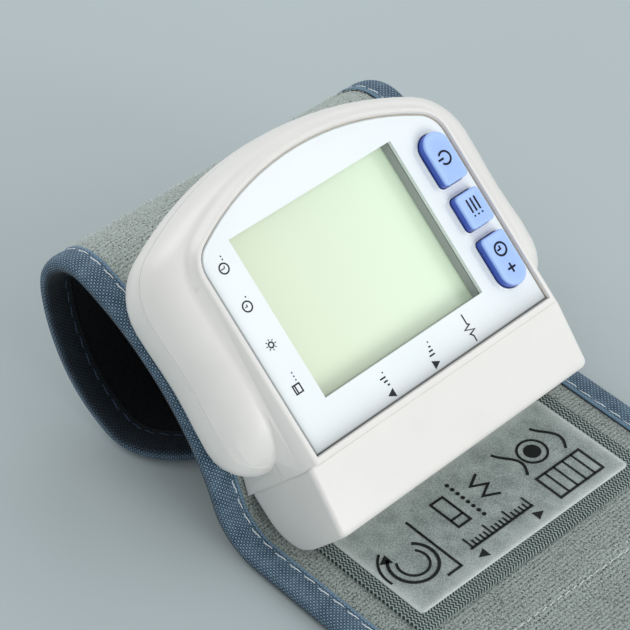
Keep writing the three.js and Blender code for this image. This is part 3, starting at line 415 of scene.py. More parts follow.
def moulded(name, colour, roughness, fine):
    """Moulded plastic: very faint mottling, a fine spark-eroded grain and slightly uneven
    gloss."""
    material, tree, shader = surface(name, roughness)
    at = place(tree)
    cloud = noise(tree, at, 0.08, 4)
    painted(tree, shader, ramp(tree, cloud, (0.3, toned(colour, 0.955)), (0.7, srgb(*colour))))
    grain = noise(tree, at, 6.0, 2)
    tree.links.new(plus(tree, times(tree, grain, 0.1), roughness - 0.05), shader.inputs["Roughness"])
    bumped(tree, shader, grain, 0.25, fine)
    return material


def metal(name, colour, roughness):
    """Drawn metal: fine brushing along one way."""
    material, tree, shader = surface(name, roughness, 1.0)
    streak = noise(tree, place(tree, (1, 1, 12)), 1.5, 4)
    painted(tree, shader, ramp(tree, streak, (0.3, toned(colour, 0.75)), (0.7, srgb(*colour))))
    bumped(tree, shader, streak, 0.2, 0.02)
    return material


def woven(name, dark, light, pitch, roughness, crown=0.8, shade_zones=None, dotted=False):
    """Woven tape: ribs across the piece's own map, each crossed by short floats that step
    half a pitch from rib to rib, sin(x) * sin(y), paler on their crowns. The zones list
    shares of full colour at distances round a folded tape's section; towards the rest the
    colour gives way to painted shade, near black, round its edge and over its underside.
    The section also has a paler selvage. dotted lifts every other float only, so that the
    pale crowns run in slanting lines."""
    material, tree, shader = surface(name, roughness, Sheen_Weight=0.08, Sheen_Roughness=0.5,
                                     Specular_IOR_Level=0.2)
    at = place(tree, source="UV")
    along, across = axes(tree, at)[:2]
    fuzz = noise(tree, at, 5.0, 2)
    drift = swing(tree, fuzz, 1.6)
    warp = formula(tree, "SINE", plus(tree, times(tree, along, math.pi / pitch), drift))
    weft = formula(tree, "SINE", plus(tree, times(tree, across, math.pi / pitch), drift))
    over = times(tree, warp, weft)
    height = formula(tree, "ABSOLUTE", over)
    if dotted:
        height = formula(tree, "MAXIMUM", over, times(tree, height, 0.4))
    cloud = noise(tree, at, 0.35, 3)
    tone = plus(tree, times(tree, height, crown), swing(tree, fuzz, 0.5), swing(tree, cloud, 0.4))
    colour = ramp(tree, tone, (0.02, srgb(*dark)), (0.75, srgb(*light)))
    # Painted shade: the section fades to near black round the edge and over the underside, which lies in
    # shadow.
    if shade_zones is not None:
        span = 16.0
        share = ramp(tree, formula(tree, "DIVIDE", across, span),
                     *[(at / span, (grey, grey, grey, 1)) for at, grey in shade_zones])
        selvage = times(tree, minus(tree, 0.75, across), 4.0, True)
        colour = mix(tree, share, srgb(3, 5, 8), colour)
        colour = mix(tree, times(tree, selvage, 0.8), colour, srgb(112, 142, 164))
    painted(tree, shader, colour)
    bumped(tree, shader, height, 0.7, 0.12)
    return material


def looped(name, dark, mid, light):
    """Brushed loop knit: faint rows across the cuff, close small loops with dark gaps
    between them, cloudy wear, and painted light: a paler tone where the cuff stands high
    and catches the light."""
    row_pitch = 0.85
    highlight_from, highlight_run = 10.0, 34.0
    material, tree, shader = surface(name, 0.95, Sheen_Weight=0.5, Sheen_Roughness=0.35)
    at = place(tree, source="UV")
    strands = noise(tree, at, 3.0, 3, 0.7)
    wave = plus(tree, times(tree, axes(tree, at)[0], 2 * math.pi / row_pitch), swing(tree, strands, 2.4))
    rows = formula(tree, "SINE", wave)
    cells = add(tree, "ShaderNodeTexVoronoi", {"Vector": at, "Scale": 1.9, "Randomness": 0.8})
    gaps = times(tree, minus(tree, 0.4, cells.outputs["Distance"]), 3.4, True)
    # Painted highlight, growing with height over the table.
    raised = formula(tree, "DIVIDE", minus(tree, axes(tree, place(tree))[2], highlight_from), highlight_run, True)
    fibre = minus(tree, times(tree, strands, 1.3), 0.165)
    tone = minus(tree, plus(tree, fibre, times(tree, rows, 0.06)), times(tree, gaps, 0.4))
    tone = plus(tree, tone, swing(tree, noise(tree, at, 0.11, 4), 0.13), times(tree, raised, 0.13))
    painted(tree, shader, ramp(tree, tone, (0.1, srgb(*dark)), (0.36, srgb(*mid)), (0.62, srgb(*light)),
                               (0.85, srgb(*[c + 30 for c in light]))))
    bumped(tree, shader, tone, 0.7, 0.3)
    return material


def ink(name, colour, roughness):
    """Printed ink or thread: a solid colour with faint thin spots."""
    material, tree, shader = surface(name, roughness, Specular_IOR_Level=0.25)
    patch = noise(tree, place(tree), 3.0, 3)
    painted(tree, shader, ramp(tree, patch, (0.35, srgb(*colour)), (0.8, toned(colour, 1.25, 0.002))))
    return material


def along_body(tree, way, offset=0.0):
    """Distance in millimetres from the display's centre along a direction of the
    monitor's own frame, from a piece's object coordinates."""
    direction = body_way(*way)
    distance = add(tree, "ShaderNodeVectorMath", {0: place(tree), 1: direction}, operation="DOT_PRODUCT")
    start = sum(a * b for a, b in zip(direction, DISPLAY_AT)) + offset
    return minus(tree, distance.outputs["Value"], start)


def painted_edge_shade(tree, colour, way, at, reach, shade_colour, weight=1.0):
    """Painted shade that fades in towards a line: its weight is
    exp(-distance / reach) times the given one."""
    distance = formula(tree, "MAXIMUM", along_body(tree, way, at), 0.0)
    fade = formula(tree, "EXPONENT", times(tree, distance, -1.0 / reach))
    return mix(tree, times(tree, fade, weight, True), colour, srgb(*shade_colour))


def cap_plastic_lit():
    """Button plastic, one blue with painted light and shade: pale on the top, where the light falls, and
    deep blue low on the sides, which lie in shade.
    """
    material, tree, shader = surface("button_blue", 0.3, Coat_Weight=0.3, Coat_Roughness=0.1)
    height = along_body(tree, (0, 0, 1))
    tone = plus(tree, times(tree, height, 0.4), times(tree, noise(tree, place(tree), 0.5, 2), 0.04))
    painted(tree, shader, ramp(tree, tone, (0.0, srgb(8, 52, 146)), (0.72, srgb(26, 84, 206)),
                               (0.8, srgb(144, 178, 244)), (0.9, srgb(166, 198, 252))))
    return material


def display_green():
    """Liquid crystal film: pale green, warmer towards one side, with a faint painted glow that lifts its
    shade, though the film gives no light.
    """
    # The emission below is a painted glow, not a lamp.
    material, tree, shader = surface("lcd_green", 0.22, Coat_Weight=0.2, Coat_Roughness=0.15,
                                     Emission_Color=srgb(214, 240, 206), Emission_Strength=0.16)
    half, run = 20.0, 40.0
    at = place(tree)
    fade = times(tree, plus(tree, axes(tree, at)[1], half), 1 / run, True)
    tone = plus(tree, fade, times(tree, noise(tree, at, 0.9, 3), 0.06))
    painted(tree, shader, ramp(tree, tone, (0.0, srgb(216, 233, 209)), (1.0, srgb(206, 214, 190))))
    return material


ivory = moulded("moulded_ivory", (233, 231, 226), 0.36, 0.012)
blue_cap = cap_plastic_lit()
black_plastic = moulded("black_plastic", (34, 36, 40), 0.5, 0.03)
grey_plastic = moulded("frame_grey", (168, 172, 172), 0.5, 0.02)
clear_rubber = moulded("silicone", (214, 218, 218), 0.5, 0.01)
board_mask = moulded("solder_mask", (30, 104, 58), 0.45, 0.03)
steel = metal("bright_steel", (196, 198, 202), 0.28)
cell_wrap = moulded("cell_wrap", (44, 46, 54), 0.35, 0.01)
sheet_plastic = moulded("sprung_sheet", (224, 224, 218), 0.4, 0.02)
bladder_skin = woven("bladder_cloth", (36, 46, 66), (58, 72, 96), 0.5, 0.7)
loop_cloth = looped("loop_cloth", (34, 44, 40), (112, 122, 117), (172, 182, 176))
# The binding's zones paint its underside near black, as shade.
tape_blue = woven("binding_tape", (22, 42, 60), (138, 166, 186), 0.43, 0.85, crown=1.0, dotted=True,
                  shade_zones=[(0, 1.0), (5.4, 1.0), (6.5, 0.85), (7.2, 0.3), (8.0, 0.1), (12.5, 0.07),
                         (13.4, 0.2)])
# Dark nylon lining, its colours made darker still as painted shade for the inside of the loop.
lining_cloth = woven("lining_nylon", (2, 3, 6), (13, 15, 21), 0.5, 0.8)
thread_white = ink("white_thread", (212, 218, 220), 0.7)
# Fuzz: pale fibre, made paler still as painted light for loose loops lit against the light.
fuzz_grey = ink("cloth_fuzz", (208, 217, 211), 0.9)
# The inner stitches are the same white thread, painted dim blue as shade inside the loop.
thread_in_shade = ink("white_thread_in_shade", (58, 74, 98), 0.7)
mark_navy = ink("navy_ink", (6, 12, 34), 0.5)
mark_grey = ink("grey_ink", (24, 28, 34), 0.5)
label_ink = ink("label_ink", (4, 12, 11), 0.5)


# Housing

SEAM_LIP_RISE = 0.28
SEAM_LIP_GAP = 0.09
ON_PLANE = 0.03
CASE_SEAM_AT = -9.15
COVER_SEAM_AT = -25.2


def seam_lip(name, solid, way, at):
    """Fills the gap behind a seam: the solid's flat rim on the plane at the given
    distance along a direction is drawn in a little and raised across the gap."""
    way = Vector(body_way(*way))
    start = way.dot(Vector(DISPLAY_AT))
    work = bmesh.new()
    work.from_mesh(nodes[solid].data)
    bmesh.ops.remove_doubles(work, verts=work.verts, dist=JOIN_WITHIN)
    off = [f for f in work.faces if f.normal.dot(way) < 0.999 or
           abs(f.calc_center_median().dot(way) / MM - start - at) > ON_PLANE]
    bmesh.ops.delete(work, geom=off, context="FACES")
    rim = bmesh.ops.inset_region(work, faces=work.faces[:], thickness=SEAM_LIP_GAP * MM, use_boundary=True,
                                 use_even_offset=True)["faces"]
    bmesh.ops.delete(work, geom=rim, context="FACES")
    bmesh.ops.dissolve_degenerate(work, dist=JOIN_WITHIN / 2, edges=work.edges)
    raised = bmesh.ops.extrude_face_region(work, geom=work.faces[:])["geom"]
    bmesh.ops.translate(work, vec=way * SEAM_LIP_RISE * MM,
                        verts=[v for v in raised if isinstance(v, bmesh.types.BMVert)])
    bmesh.ops.recalc_face_normals(work, faces=work.faces)
    mesh = bpy.data.meshes.new(name)
    work.to_mesh(mesh)
    work.free()
    return finished(mesh, name, nodes[solid]["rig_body"], ivory, SHELL_CRISP)


for shell in ("front_case", "back_case", "battery_cover"):
    merged_copy(shell, ivory)
seam_lip("case_seam_lip", "back_case", (0, 0, 1), CASE_SEAM_AT)
seam_lip("cover_seam_lip", "battery_cover", (1, 0, 0), COVER_SEAM_AT)


# Face panel and display

PANEL = dict(apex=24.1, half=29.2, arch=55.0, corner=5.5, back=23.6)


def panel_outline(grow):
    """Plan outline of the panel, grown all round: a wide arc over the arched end, two
    corner arcs tangent to it and to the straight sides, and a straight back edge."""
    apex, half = PANEL["apex"] + grow, PANEL["half"] + grow
    arch, corner, back = PANEL["arch"] + grow, PANEL["corner"] + grow, PANEL["back"] + grow
    arch_x = apex - arch
    corner_y = half - corner
    corner_x = arch_x + math.sqrt((arch - corner) ** 2 - corner_y ** 2)
    meet = math.atan2(corner_y, corner_x - arch_x)
    a = np.linspace(0, meet, 28)
    b = np.linspace(meet, math.pi / 2, 14)[1:]
    upper = np.concatenate([
        np.stack([arch_x + arch * np.cos(a), arch * np.sin(a)], -1),
        np.stack([corner_x + corner * np.cos(b), corner_y + corner * np.sin(b)], -1),
        [[-back, half]]])
    return np.concatenate([upper, (upper * [1, -1])[::-1][:-1]])


def panel_gloss():
    """Glossy printed sheet, with soft grey painted shade along its back edge and sides."""
    material, tree, shader = surface("panel_gloss", 0.12, Coat_Weight=0.5, Coat_Roughness=0.05)
    cloud = noise(tree, place(tree), 0.05, 2)
    colour = ramp(tree, cloud, (0.3, srgb(232, 239, 240)), (0.7, srgb(238, 244, 245)))
    colour = painted_edge_shade(tree, colour, (1, 0, 0), -PANEL["back"], 1.7, (112, 118, 120), 0.79)
    colour = painted_edge_shade(tree, colour, (0, -1, 0), -PANEL["half"], 0.55, (120, 128, 130), 0.7)
    colour = painted_edge_shade(tree, colour, (0, 1, 0), -PANEL["half"], 0.3, (150, 156, 158), 0.3)
    painted(tree, shader, colour)
    return material


def gap_strip_shaded():
    """Tan strip in the gap round the panel, with dark painted shade along one side and the back edge, for
    the shadow in the gap.
    """
    material, tree, shader = surface("gap_strip_shaded", 0.6)
    cloud = noise(tree, place(tree), 0.4, 2)
    colour = ramp(tree, cloud, (0.3, srgb(182, 172, 158)), (0.7, srgb(188, 179, 166)))
    colour = painted_edge_shade(tree, colour, (0, -1, 0), -PANEL["half"], 6.0, (50, 52, 54))
    colour = painted_edge_shade(tree, colour, (1, 0, 0), -PANEL["back"], 0.6, (84, 86, 86), 0.8)
    painted(tree, shader, colour)
    return material


def round_outline(outline, profile):
    """A closed band round an outline, from a section of grow and height."""
    return ring_skin(np.stack([at_height(outline(grow), z) for grow, z in profile], 1))


panel_white = panel_gloss()
merged_copy("face_panel", panel_white)
SEAL = [(0.12, -0.5), (0.12, 0.12), (0.18, 0.27), (0.28, 0.44), (0.28, -0.5)]
# The strip that fills the gap round the panel carries painted shade for the gap's shadow.
GAP_STRIP = [(-0.05, -0.4), (-0.05, -0.1), (0.14, -0.1), (0.14, -0.4)]
for name, section, finish in (("panel_seal", SEAL, ivory), ("panel_gasket", GAP_STRIP, gap_strip_shaded())):
    mesh_object(name, carried(round_outline(panel_outline, section), on_body), ROOT_BODY, finish, CAP_CRISP)
merged_copy("lcd_frame", grey_plastic)
merged_copy("lcd_glass", display_green())


# Printed marks: thin closed strips and plates that stand a hair proud of their surface

INK_PROUD = 0.035
INK_SUNK = 0.03


def stroke(path, width, closed=False):
    """A line of even width: at each point of the path its section is a low box, turned to
    the mean of the two directions that meet there and widened by the mitre."""
    path = np.asarray(path, float)
    if closed:
        into, out = path - np.roll(path, 1, axis=0), np.roll(path, -1, axis=0) - path
    else:
        step = np.diff(path, axis=0)
        into = np.concatenate([step[:1], step])
        out = np.concatenate([step, step[-1:]])
    into = into / np.linalg.norm(into, axis=1)[:, None]
    out = out / np.linalg.norm(out, axis=1)[:, None]
    ahead = into + out
    ahead = ahead / np.linalg.norm(ahead, axis=1)[:, None]
    side = np.stack([-ahead[:, 1], ahead[:, 0]], -1)
    mitre = width / 2 / np.clip(np.sum(ahead * out, axis=1), 0.5, 1)
    left, right = path + side * mitre[:, None], path - side * mitre[:, None]
    rings = np.stack([at_height(left, -INK_SUNK), at_height(right, -INK_SUNK), at_height(right, INK_PROUD),
                      at_height(left, INK_PROUD)], 1)
    return ring_skin(rings) if closed else skin(rings)


def plate(outline):
    """A filled mark with the given outline."""
    outline = np.asarray(outline, float)
    return skin([at_height(outline, -INK_SUNK), at_height(outline, INK_PROUD)])


def arc(x, y, radius, low, high, steps):
    """Points on an arc between two angles in degrees."""
    a = np.radians(np.linspace(low, high, steps))
    return np.stack([x + radius * np.cos(a), y + radius * np.sin(a)], -1)


def ring_mark(x, y, radius, width, steps=28):
    """A drawn circle."""
    return stroke(arc(x, y, radius, 0, 360, steps + 1)[:-1], width, True)


def dot(x, y, radius, steps=14):
    """A filled circle."""
    return plate(arc(x, y, radius, 0, 360, steps + 1)[:-1])


def bar(x, y, run, rise, width):
    """A straight line from a point, by a run and a rise."""
    return stroke([(x, y), (x + run, y + rise)], width)


def clock(x, y, radius, width, long_hand, short_hand, hand_width):
    """A clock face: its hands start just past its centre."""
    past = 0.05
    return [ring_mark(x, y, radius, width), bar(x, y - past, 0, long_hand + past, hand_width),
            bar(x - past, y, short_hand[0] + past, short_hand[1], hand_width)]


def arrowhead(x, y, way, size):
    """A filled triangle that points up or down."""
    corners = np.array([(-0.5, -0.45 * way), (0.5, -0.45 * way), (0.0, 0.5 * way)])[::way]
    return plate(corners * size + [x, y])


def box_mark(x, y, wide, high, width):
    """A drawn rectangle."""
    return stroke(np.array([(0, 0), (1, 0), (1, 1), (0, 1)]) * [wide, high] + [x, y], width, True)


def marks(name, shapes, onto, body, material):
    """Marks drawn flat, carried to the part's frame by the given function."""
    return mesh_object(name, carried(joined(shapes), onto), body, material, MARK_CRISP)


# The panel's marks: readings in a row along the back edge, clock settings in a column
# beside the display. x runs to the arched end, y to the column.
PEN = 0.27
THIN_PEN = 0.18
BAR_PEN = 0.3
HEAD_PEN = 0.26
RAY_PEN = 0.16
SMALL_DOT = 0.15
ARROW_X = -22.1
BARS_X = -20.4
BARS_STEP = 0.75
BARS_DOT_X = -18.0
BARS_DOT_DROP = 0.62
PULSE_Y = -11.2
PULSE = [(-22.9, 0), (-21.7, 0), (-21.2, 0.5), (-20.8, -0.9), (-20.1, 1.1), (-19.6, -0.4), (-19.3, 0),
         (-17.3, 0)]
COLUMN_Y = 25.4
COLUMN_DOTS_Y = 24.75
SUN_X = -3.2
SUN_RAYS = (0.75, 1.1)
CALENDAR_X, CALENDAR_Y = -12.9, 24.7
CALENDAR_WIDE, CALENDAR_HIGH, CALENDAR_HEAD = 1.6, 1.5, 1.05
CLOCK_RADIUS = 0.95

panel_marks = []
for mark_y, way, heights in ((9.9, 1, (0.5, 0.9, 1.3)), (-1.4, -1, (1.3, 0.9, 0.5))):
    panel_marks.append(arrowhead(ARROW_X, mark_y, way, 1.7))
    panel_marks += [bar(BARS_X + BARS_STEP * i, mark_y - BARS_STEP, 0, tall, BAR_PEN)
                    for i, tall in enumerate(heights)]
    panel_marks.append(dot(BARS_DOT_X, mark_y - BARS_DOT_DROP, SMALL_DOT))
panel_marks.append(stroke(np.array(PULSE) + [0, PULSE_Y], PEN))
panel_marks.append(box_mark(CALENDAR_X, CALENDAR_Y, CALENDAR_WIDE, CALENDAR_HIGH, PEN))
panel_marks.append(bar(CALENDAR_X, CALENDAR_Y + CALENDAR_HEAD, CALENDAR_WIDE, 0, HEAD_PEN))
panel_marks += [dot(x, CALENDAR_Y + SMALL_DOT, SMALL_DOT) for x in (-10.6, -9.9, -9.2)]
panel_marks.append(ring_mark(SUN_X, COLUMN_Y, 0.5, PEN, 18))
for ray in np.radians(np.arange(0, 360, 45)):
    near, far = [(SUN_X + r * math.cos(ray), COLUMN_Y + r * math.sin(ray)) for r in SUN_RAYS]
    panel_marks.append(stroke([near, far], RAY_PEN))
panel_marks += clock(4.6, COLUMN_Y, CLOCK_RADIUS, PEN, 0.5, (0.4, 0.0), THIN_PEN)
panel_marks += clock(12.3, COLUMN_Y, CLOCK_RADIUS, PEN, 0.75, (0.4, -0.3), THIN_PEN)
panel_marks += [dot(x, COLUMN_DOTS_Y, SMALL_DOT) for x in (6.2, 13.8, 14.4)]
marks("panel_print", panel_marks, on_body, ROOT_BODY, mark_grey)


# Buttons: each cap's reach in x, and whether its low and high ends are half rounds

BUTTONS = {
    "time_button": (-18.5, -8.0, True, False),
    "memory_button": (-5.8, 1.1, False, False),
    "power_button": (3.5, 13.6, False, True),
}
BUTTON_Y = -24.5
BUTTON_HALF = 2.9
BUTTON_TOP = 2.3
CAP_CORNER = 0.9
CAP_EDGE = 0.38
CAP_LIP = 0.9
LIP_TOP = -3.2
LIP_FOOT = -3.9
CAP_MARKS_Y = BUTTON_Y - 0.1
CAP_MARKS_Z = BUTTON_TOP - 0.19
CAP_PEN = 0.4
CAP_HAND_PEN = 0.34
CAP_RING = 1.25


def button_outline(span, grow, corner=CAP_CORNER):
    """Rectangle with quarter-circle corners, or with a whole half round at an end."""
    low, high, round_low, round_high = span
    lows = BUTTON_HALF + grow if round_low else corner + grow
    highs = BUTTON_HALF + grow if round_high else corner + grow
    quarter = np.linspace(0, math.pi / 2, 10)
    y0, y1 = BUTTON_Y - BUTTON_HALF - grow, BUTTON_Y + BUTTON_HALF + grow
    x0, x1 = low - grow, high + grow
    arcs = [(x1 - highs, y0 + highs, highs, -math.pi / 2), (x1 - highs, y1 - highs, highs, 0),
            (x0 + lows, y1 - lows, lows, math.pi / 2), (x0 + lows, y0 + lows, lows, math.pi)]
    return np.concatenate([np.stack([x + r * np.cos(quarter + turn), y + r * np.sin(quarter + turn)], -1)
                           for x, y, r, turn in arcs])


def button_skin(span):
    """Rings from the lip up the side and over a rounded edge to a slightly dished top:
    each ring is the outline drawn in by w at height z."""
    profile = [(CAP_LIP, LIP_FOOT), (CAP_LIP, LIP_TOP), (0.0, LIP_TOP), (0.0, BUTTON_TOP - CAP_EDGE)]
    profile += [(-CAP_EDGE * (1 - math.cos(a)), BUTTON_TOP - CAP_EDGE + CAP_EDGE * math.sin(a))
                for a in np.linspace(0, math.pi / 2, 6)[1:]]
    profile += [(-0.8, BUTTON_TOP - 0.08), (-1.4, BUTTON_TOP - 0.16), (-2.2, BUTTON_TOP - 0.2)]
    return skin([at_height(button_outline(span, grow, max(CAP_CORNER, -grow + 0.15)), z)
                 for grow, z in profile])


def on_cap(points):
    """Marks drawn flat beside the caps' middle line, to the caps' tops."""
    return on_body(points + [0, CAP_MARKS_Y, CAP_MARKS_Z])


for name, span in BUTTONS.items():
    mesh_object(name + "_cap", carried(button_skin(span), on_body), name, blue_cap, CAP_CRISP, name)

BUTTON_MARKS = {
    "power_button": [stroke(arc(8.3, 0, CAP_RING, 128, 412, 30), CAP_PEN), bar(8.3, 0.3, 0, 1.6, CAP_PEN)],
    "memory_button": [bar(-3.0, y, 2.7, 0, CAP_PEN) for y in (-0.95, 0.0, 0.95)]
    + [dot(-3.65, y, CAP_PEN / 2) for y in (-0.95, 0.0, 0.95)],
    "time_button": clock(-11.2, 0, CAP_RING, CAP_PEN, 0.85, (0.7, 0.0), CAP_HAND_PEN)
    + [bar(-16.1, 0, 1.9, 0, CAP_PEN), bar(-15.15, -0.95, 0, 1.9, CAP_PEN)],
}
for name, shapes in BUTTON_MARKS.items():
    marks(name + "_symbol", shapes, on_cap, name, mark_navy)

# The rounded lip of each button's well reaches down into the gap round the button.
WELL_LIP = [(0.1, -0.6), (0.1, 0.02), (0.18, 0.13), (0.34, 0.17), (0.52, 0.13), (0.66, 0.0), (0.66, -0.1),
            (0.29, -0.1), (0.29, -0.6)]
well_lips = [round_outline(lambda grow: button_outline(span, grow), WELL_LIP) for span in BUTTONS.values()]
mesh_object("button_well_rims", carried(joined(well_lips), on_body), ROOT_BODY, panel_white, SOFT_CRISP)


# Cuff: cloth layers, each laid between two heights over the middle surface

INSET = 4.9
INNER_INSET = 1.5
END_GAP = 0.01
TAPE_GAP = 0.3
HOOK_LONG = 46
HOOK_FROM = FLAP_END + TAPE + TAPE_GAP + HOOK_LONG
CLOTH_DROP = 0.12
LINING_FACE = 0.02 - MIDDLE
LINING_BACK = 0.5 - MIDDLE
SEAM_DIP_REACH = 1.6
STATION_STEP = 2.0
ACROSS_POINTS = 41


def stations(low, high, inset):
    """Arc lengths from low to high, evenly spaced, and closer together at the round
    corners of both ends."""
    s = list(np.arange(low, high, STATION_STEP)) + [high]
    for end, corner, way in ((ROUTE_END, CUFF_END_CORNER, 1), (FLAP_END, FLAP_CORNER, -1)):
        radius = corner - inset
        centre = end - way * (inset + radius)
        s += list(centre + way * radius * np.sin(np.linspace(0, math.pi / 2, 16)))
    return np.unique(np.round([q for q in s if low <= q <= high], 4))


def cloth_layer(name, span, inset, bottom, top, body, material, node, seam_dip=0.0):
    """A cloth layer: stations along the cuff, each a thin closed loop across it. Near the
    edges, where the tape's seam draws it in, its outer face dips by
    seam_dip * exp(-(distance / SEAM_DIP_REACH) ^ 2)."""
    s_values = stations(*span, inset)
    half = outline_half(s_values, inset)
    across = np.linspace(-1, 1, ACROSS_POINTS)
    y = np.concatenate([across, across[::-1]])
    rings = []
    for s, h in zip(s_values, half):
        dip = seam_dip * np.exp(-((1 - np.abs(across)) * h / SEAM_DIP_REACH) ** 2)
        face = height_at(top, s)
        outer = np.full_like(across, face) - dip * math.copysign(1, face)
        inner = np.full_like(across, height_at(bottom, s))
        rings.append(np.stack([np.full_like(y, s), y * h, np.concatenate([inner, outer[::-1]])], -1))
    points, faces = skin(rings)
    return mesh_object(name, (on_cuff(points), faces), body, material, SOFT_CRISP, node, points[:, :2])


def over_tail_fold(piece):
    """Bakes the piece's place into its mesh."""
    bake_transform(piece)
    return piece


def over_flap_fold(piece):
    """Bakes the piece's place into its mesh."""
    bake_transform(piece)
    return piece


LOOP_SPAN = (CUT, ROUTE_END - INSET - END_GAP)
cuff_cloth = over_tail_fold(cloth_layer(
    "loop_cloth_cuff", LOOP_SPAN, INSET, MIDDLE - 1.0, MIDDLE - CLOTH_DROP, None, loop_cloth,
    ("cuff_outer_cloth", "tail_outer_cloth"), seam_dip=0.5))
flap_cloth = over_flap_fold(cloth_layer(
    "loop_cloth_flap", (FLAP_END + INSET + END_GAP, CUT), INSET, below_top(0.9), below_top(CLOTH_DROP), None,
    loop_cloth, "flap_outer_cloth", seam_dip=0.4))
cuff_lining = over_tail_fold(cloth_layer(
    "lining_cuff", LOOP_SPAN, INSET, 0.6 - MIDDLE, LINING_FACE, None, lining_cloth,
    ("cuff_lining", "tail_lining"), seam_dip=0.25))
flap_lining = over_flap_fold(cloth_layer(
    "lining_flap", (HOOK_FROM, CUT), INSET, LINING_BACK, LINING_FACE, None, lining_cloth,
    "flap_lining", seam_dip=0.2))


# Binding tape, folded over the edge

TAPE_WALL = 0.5
EDGE_STEP = 1.2
SHORTEST_STEP = 0.15


def edge_path(start, end, corner, way):
    """The cuff's edge in s and y: along one side, round the end's corners, back along the
    other side, with the outward direction at each point."""
    centre = end - way * corner
    side_s = np.arange(start, end, way * EDGE_STEP)
    side_s = side_s[way * side_s < way * centre]
    turn = np.linspace(0, math.pi / 2, 22)
    corner_s = centre + way * corner * np.sin(turn)
    corner_y = outline_half(np.array([centre]), 0)[0] - corner + corner * np.cos(turn)
    corner_y = corner_y + cuff_half(corner_s) - cuff_half(centre)
    path = np.concatenate([np.stack([side_s, cuff_half(side_s)], -1), np.stack([corner_s, corner_y], -1)])
    straight = np.arange(path[-1, 1] - EDGE_STEP, 0, -EDGE_STEP)
    path = np.concatenate([path, np.stack([np.full_like(straight, end), straight], -1)])
    path = np.concatenate([path, (path * [1, -1])[::-1]])
    keep = np.concatenate([[True], np.linalg.norm(np.diff(path, axis=0), axis=1) > SHORTEST_STEP])
    path = path[keep]
    ahead = np.gradient(path, axis=0)
    ahead /= np.linalg.norm(ahead, axis=1)[:, None]
    return path, np.stack([-ahead[:, 1], ahead[:, 0]], -1) * way


def run_length(path):
    """Distance along a path at each of its points."""
    return np.concatenate([[0], np.cumsum(np.linalg.norm(np.diff(path, axis=0), axis=1))])


def tape_outside(top):
    """The folded tape's outer line, as w from the cuff's edge and t: crowned, with a dip
    at the seam, from the upper face round the edge to the lower one."""
    middle, rise = (top - MIDDLE) / 2, (top + MIDDLE) / 2
    w = np.array([TAPE, TAPE - 0.12, TAPE - 0.5, TAPE - 1.3, 3.0, 2.0, 1.0, 0.35])
    lift = np.array([-0.1, 0.06, 0.1, -0.06, 0.05, 0.03, -0.16, -0.5]) * rise / MIDDLE
    upper = np.stack([w, middle + rise + lift], -1)
    lower = np.stack([w, middle - rise - lift], -1)[::-1]
    return np.concatenate([upper, [[0.0, middle + 0.4 * rise], [0.0, middle - 0.4 * rise]], lower])


def tape_section(top):
    """Closed C section of the folded tape: the outer line, then the same line drawn in by
    the wall towards the tape's middle."""
    outside = tape_outside(top)
    inside = outside[::-1].copy()
    push = (top - MIDDLE) / 2 - inside[:, 1]
    inside[:, 0] = np.minimum(TAPE, inside[:, 0] + np.where(inside[:, 0] < 0.9, TAPE_WALL, 0))
    inside[:, 1] += np.copysign(np.minimum(TAPE_WALL, np.abs(push)), push)
    return np.concatenate([outside, inside])


def tape_piece(name, path, outward, top, node):
    """The tape's section carried along the edge: w runs inwards from the path, t along
    the cuff's normal, and the piece's own map counts millimetres along and round."""
    rings = []
    for (s, y), out in zip(path, outward):
        section = tape_section(height_at(top, s))
        inward = np.stack([s - out[0] * section[:, 0], y - out[1] * section[:, 0]], -1)
        rings.append(np.concatenate([inward, section[:, 1:]], 1))
    points, faces = skin(rings)
    around = run_length(tape_section(height_at(top, path[0][0])))
    mapped = np.stack(np.meshgrid(run_length(path), around, indexing="ij"), -1).reshape(-1, 2)
    return mesh_object(name, (on_cuff(points), faces), None, tape_blue, TAPE_CRISP, node, mapped)


cuff_edge = edge_path(CUT, ROUTE_END, CUFF_END_CORNER, 1)
flap_edge = edge_path(CUT, FLAP_END, FLAP_CORNER, -1)
cuff_tape = over_tail_fold(tape_piece("binding_cuff", *cuff_edge, MIDDLE,
                                      ("cuff_binding", "tail_binding_left", "tail_binding_right")))
flap_tape = over_flap_fold(tape_piece("binding_flap", *flap_edge, top_of, "flap_binding"))


# Sewing thread and loose loops

SEAM_INSET = 4.2
THREAD_DROP = 0.02
STITCH = dict(length=3.1, gap=0.6, radius=0.115, dip=0.1, sway=0.7)
UNDER_STITCH = dict(STITCH, radius=0.1)
CROSS_STITCH = dict(length=1.45, gap=0.45, radius=0.085, dip=0.1, sway=0.4)
CROSS_S, CROSS_HALF, CROSS_TURN, CROSS_DROP = -43.0, 33.5, 0.034, 0.06
RISE_FROM, CROWN_FROM, CROWN_TO = 34.0, 67.0, 79.0


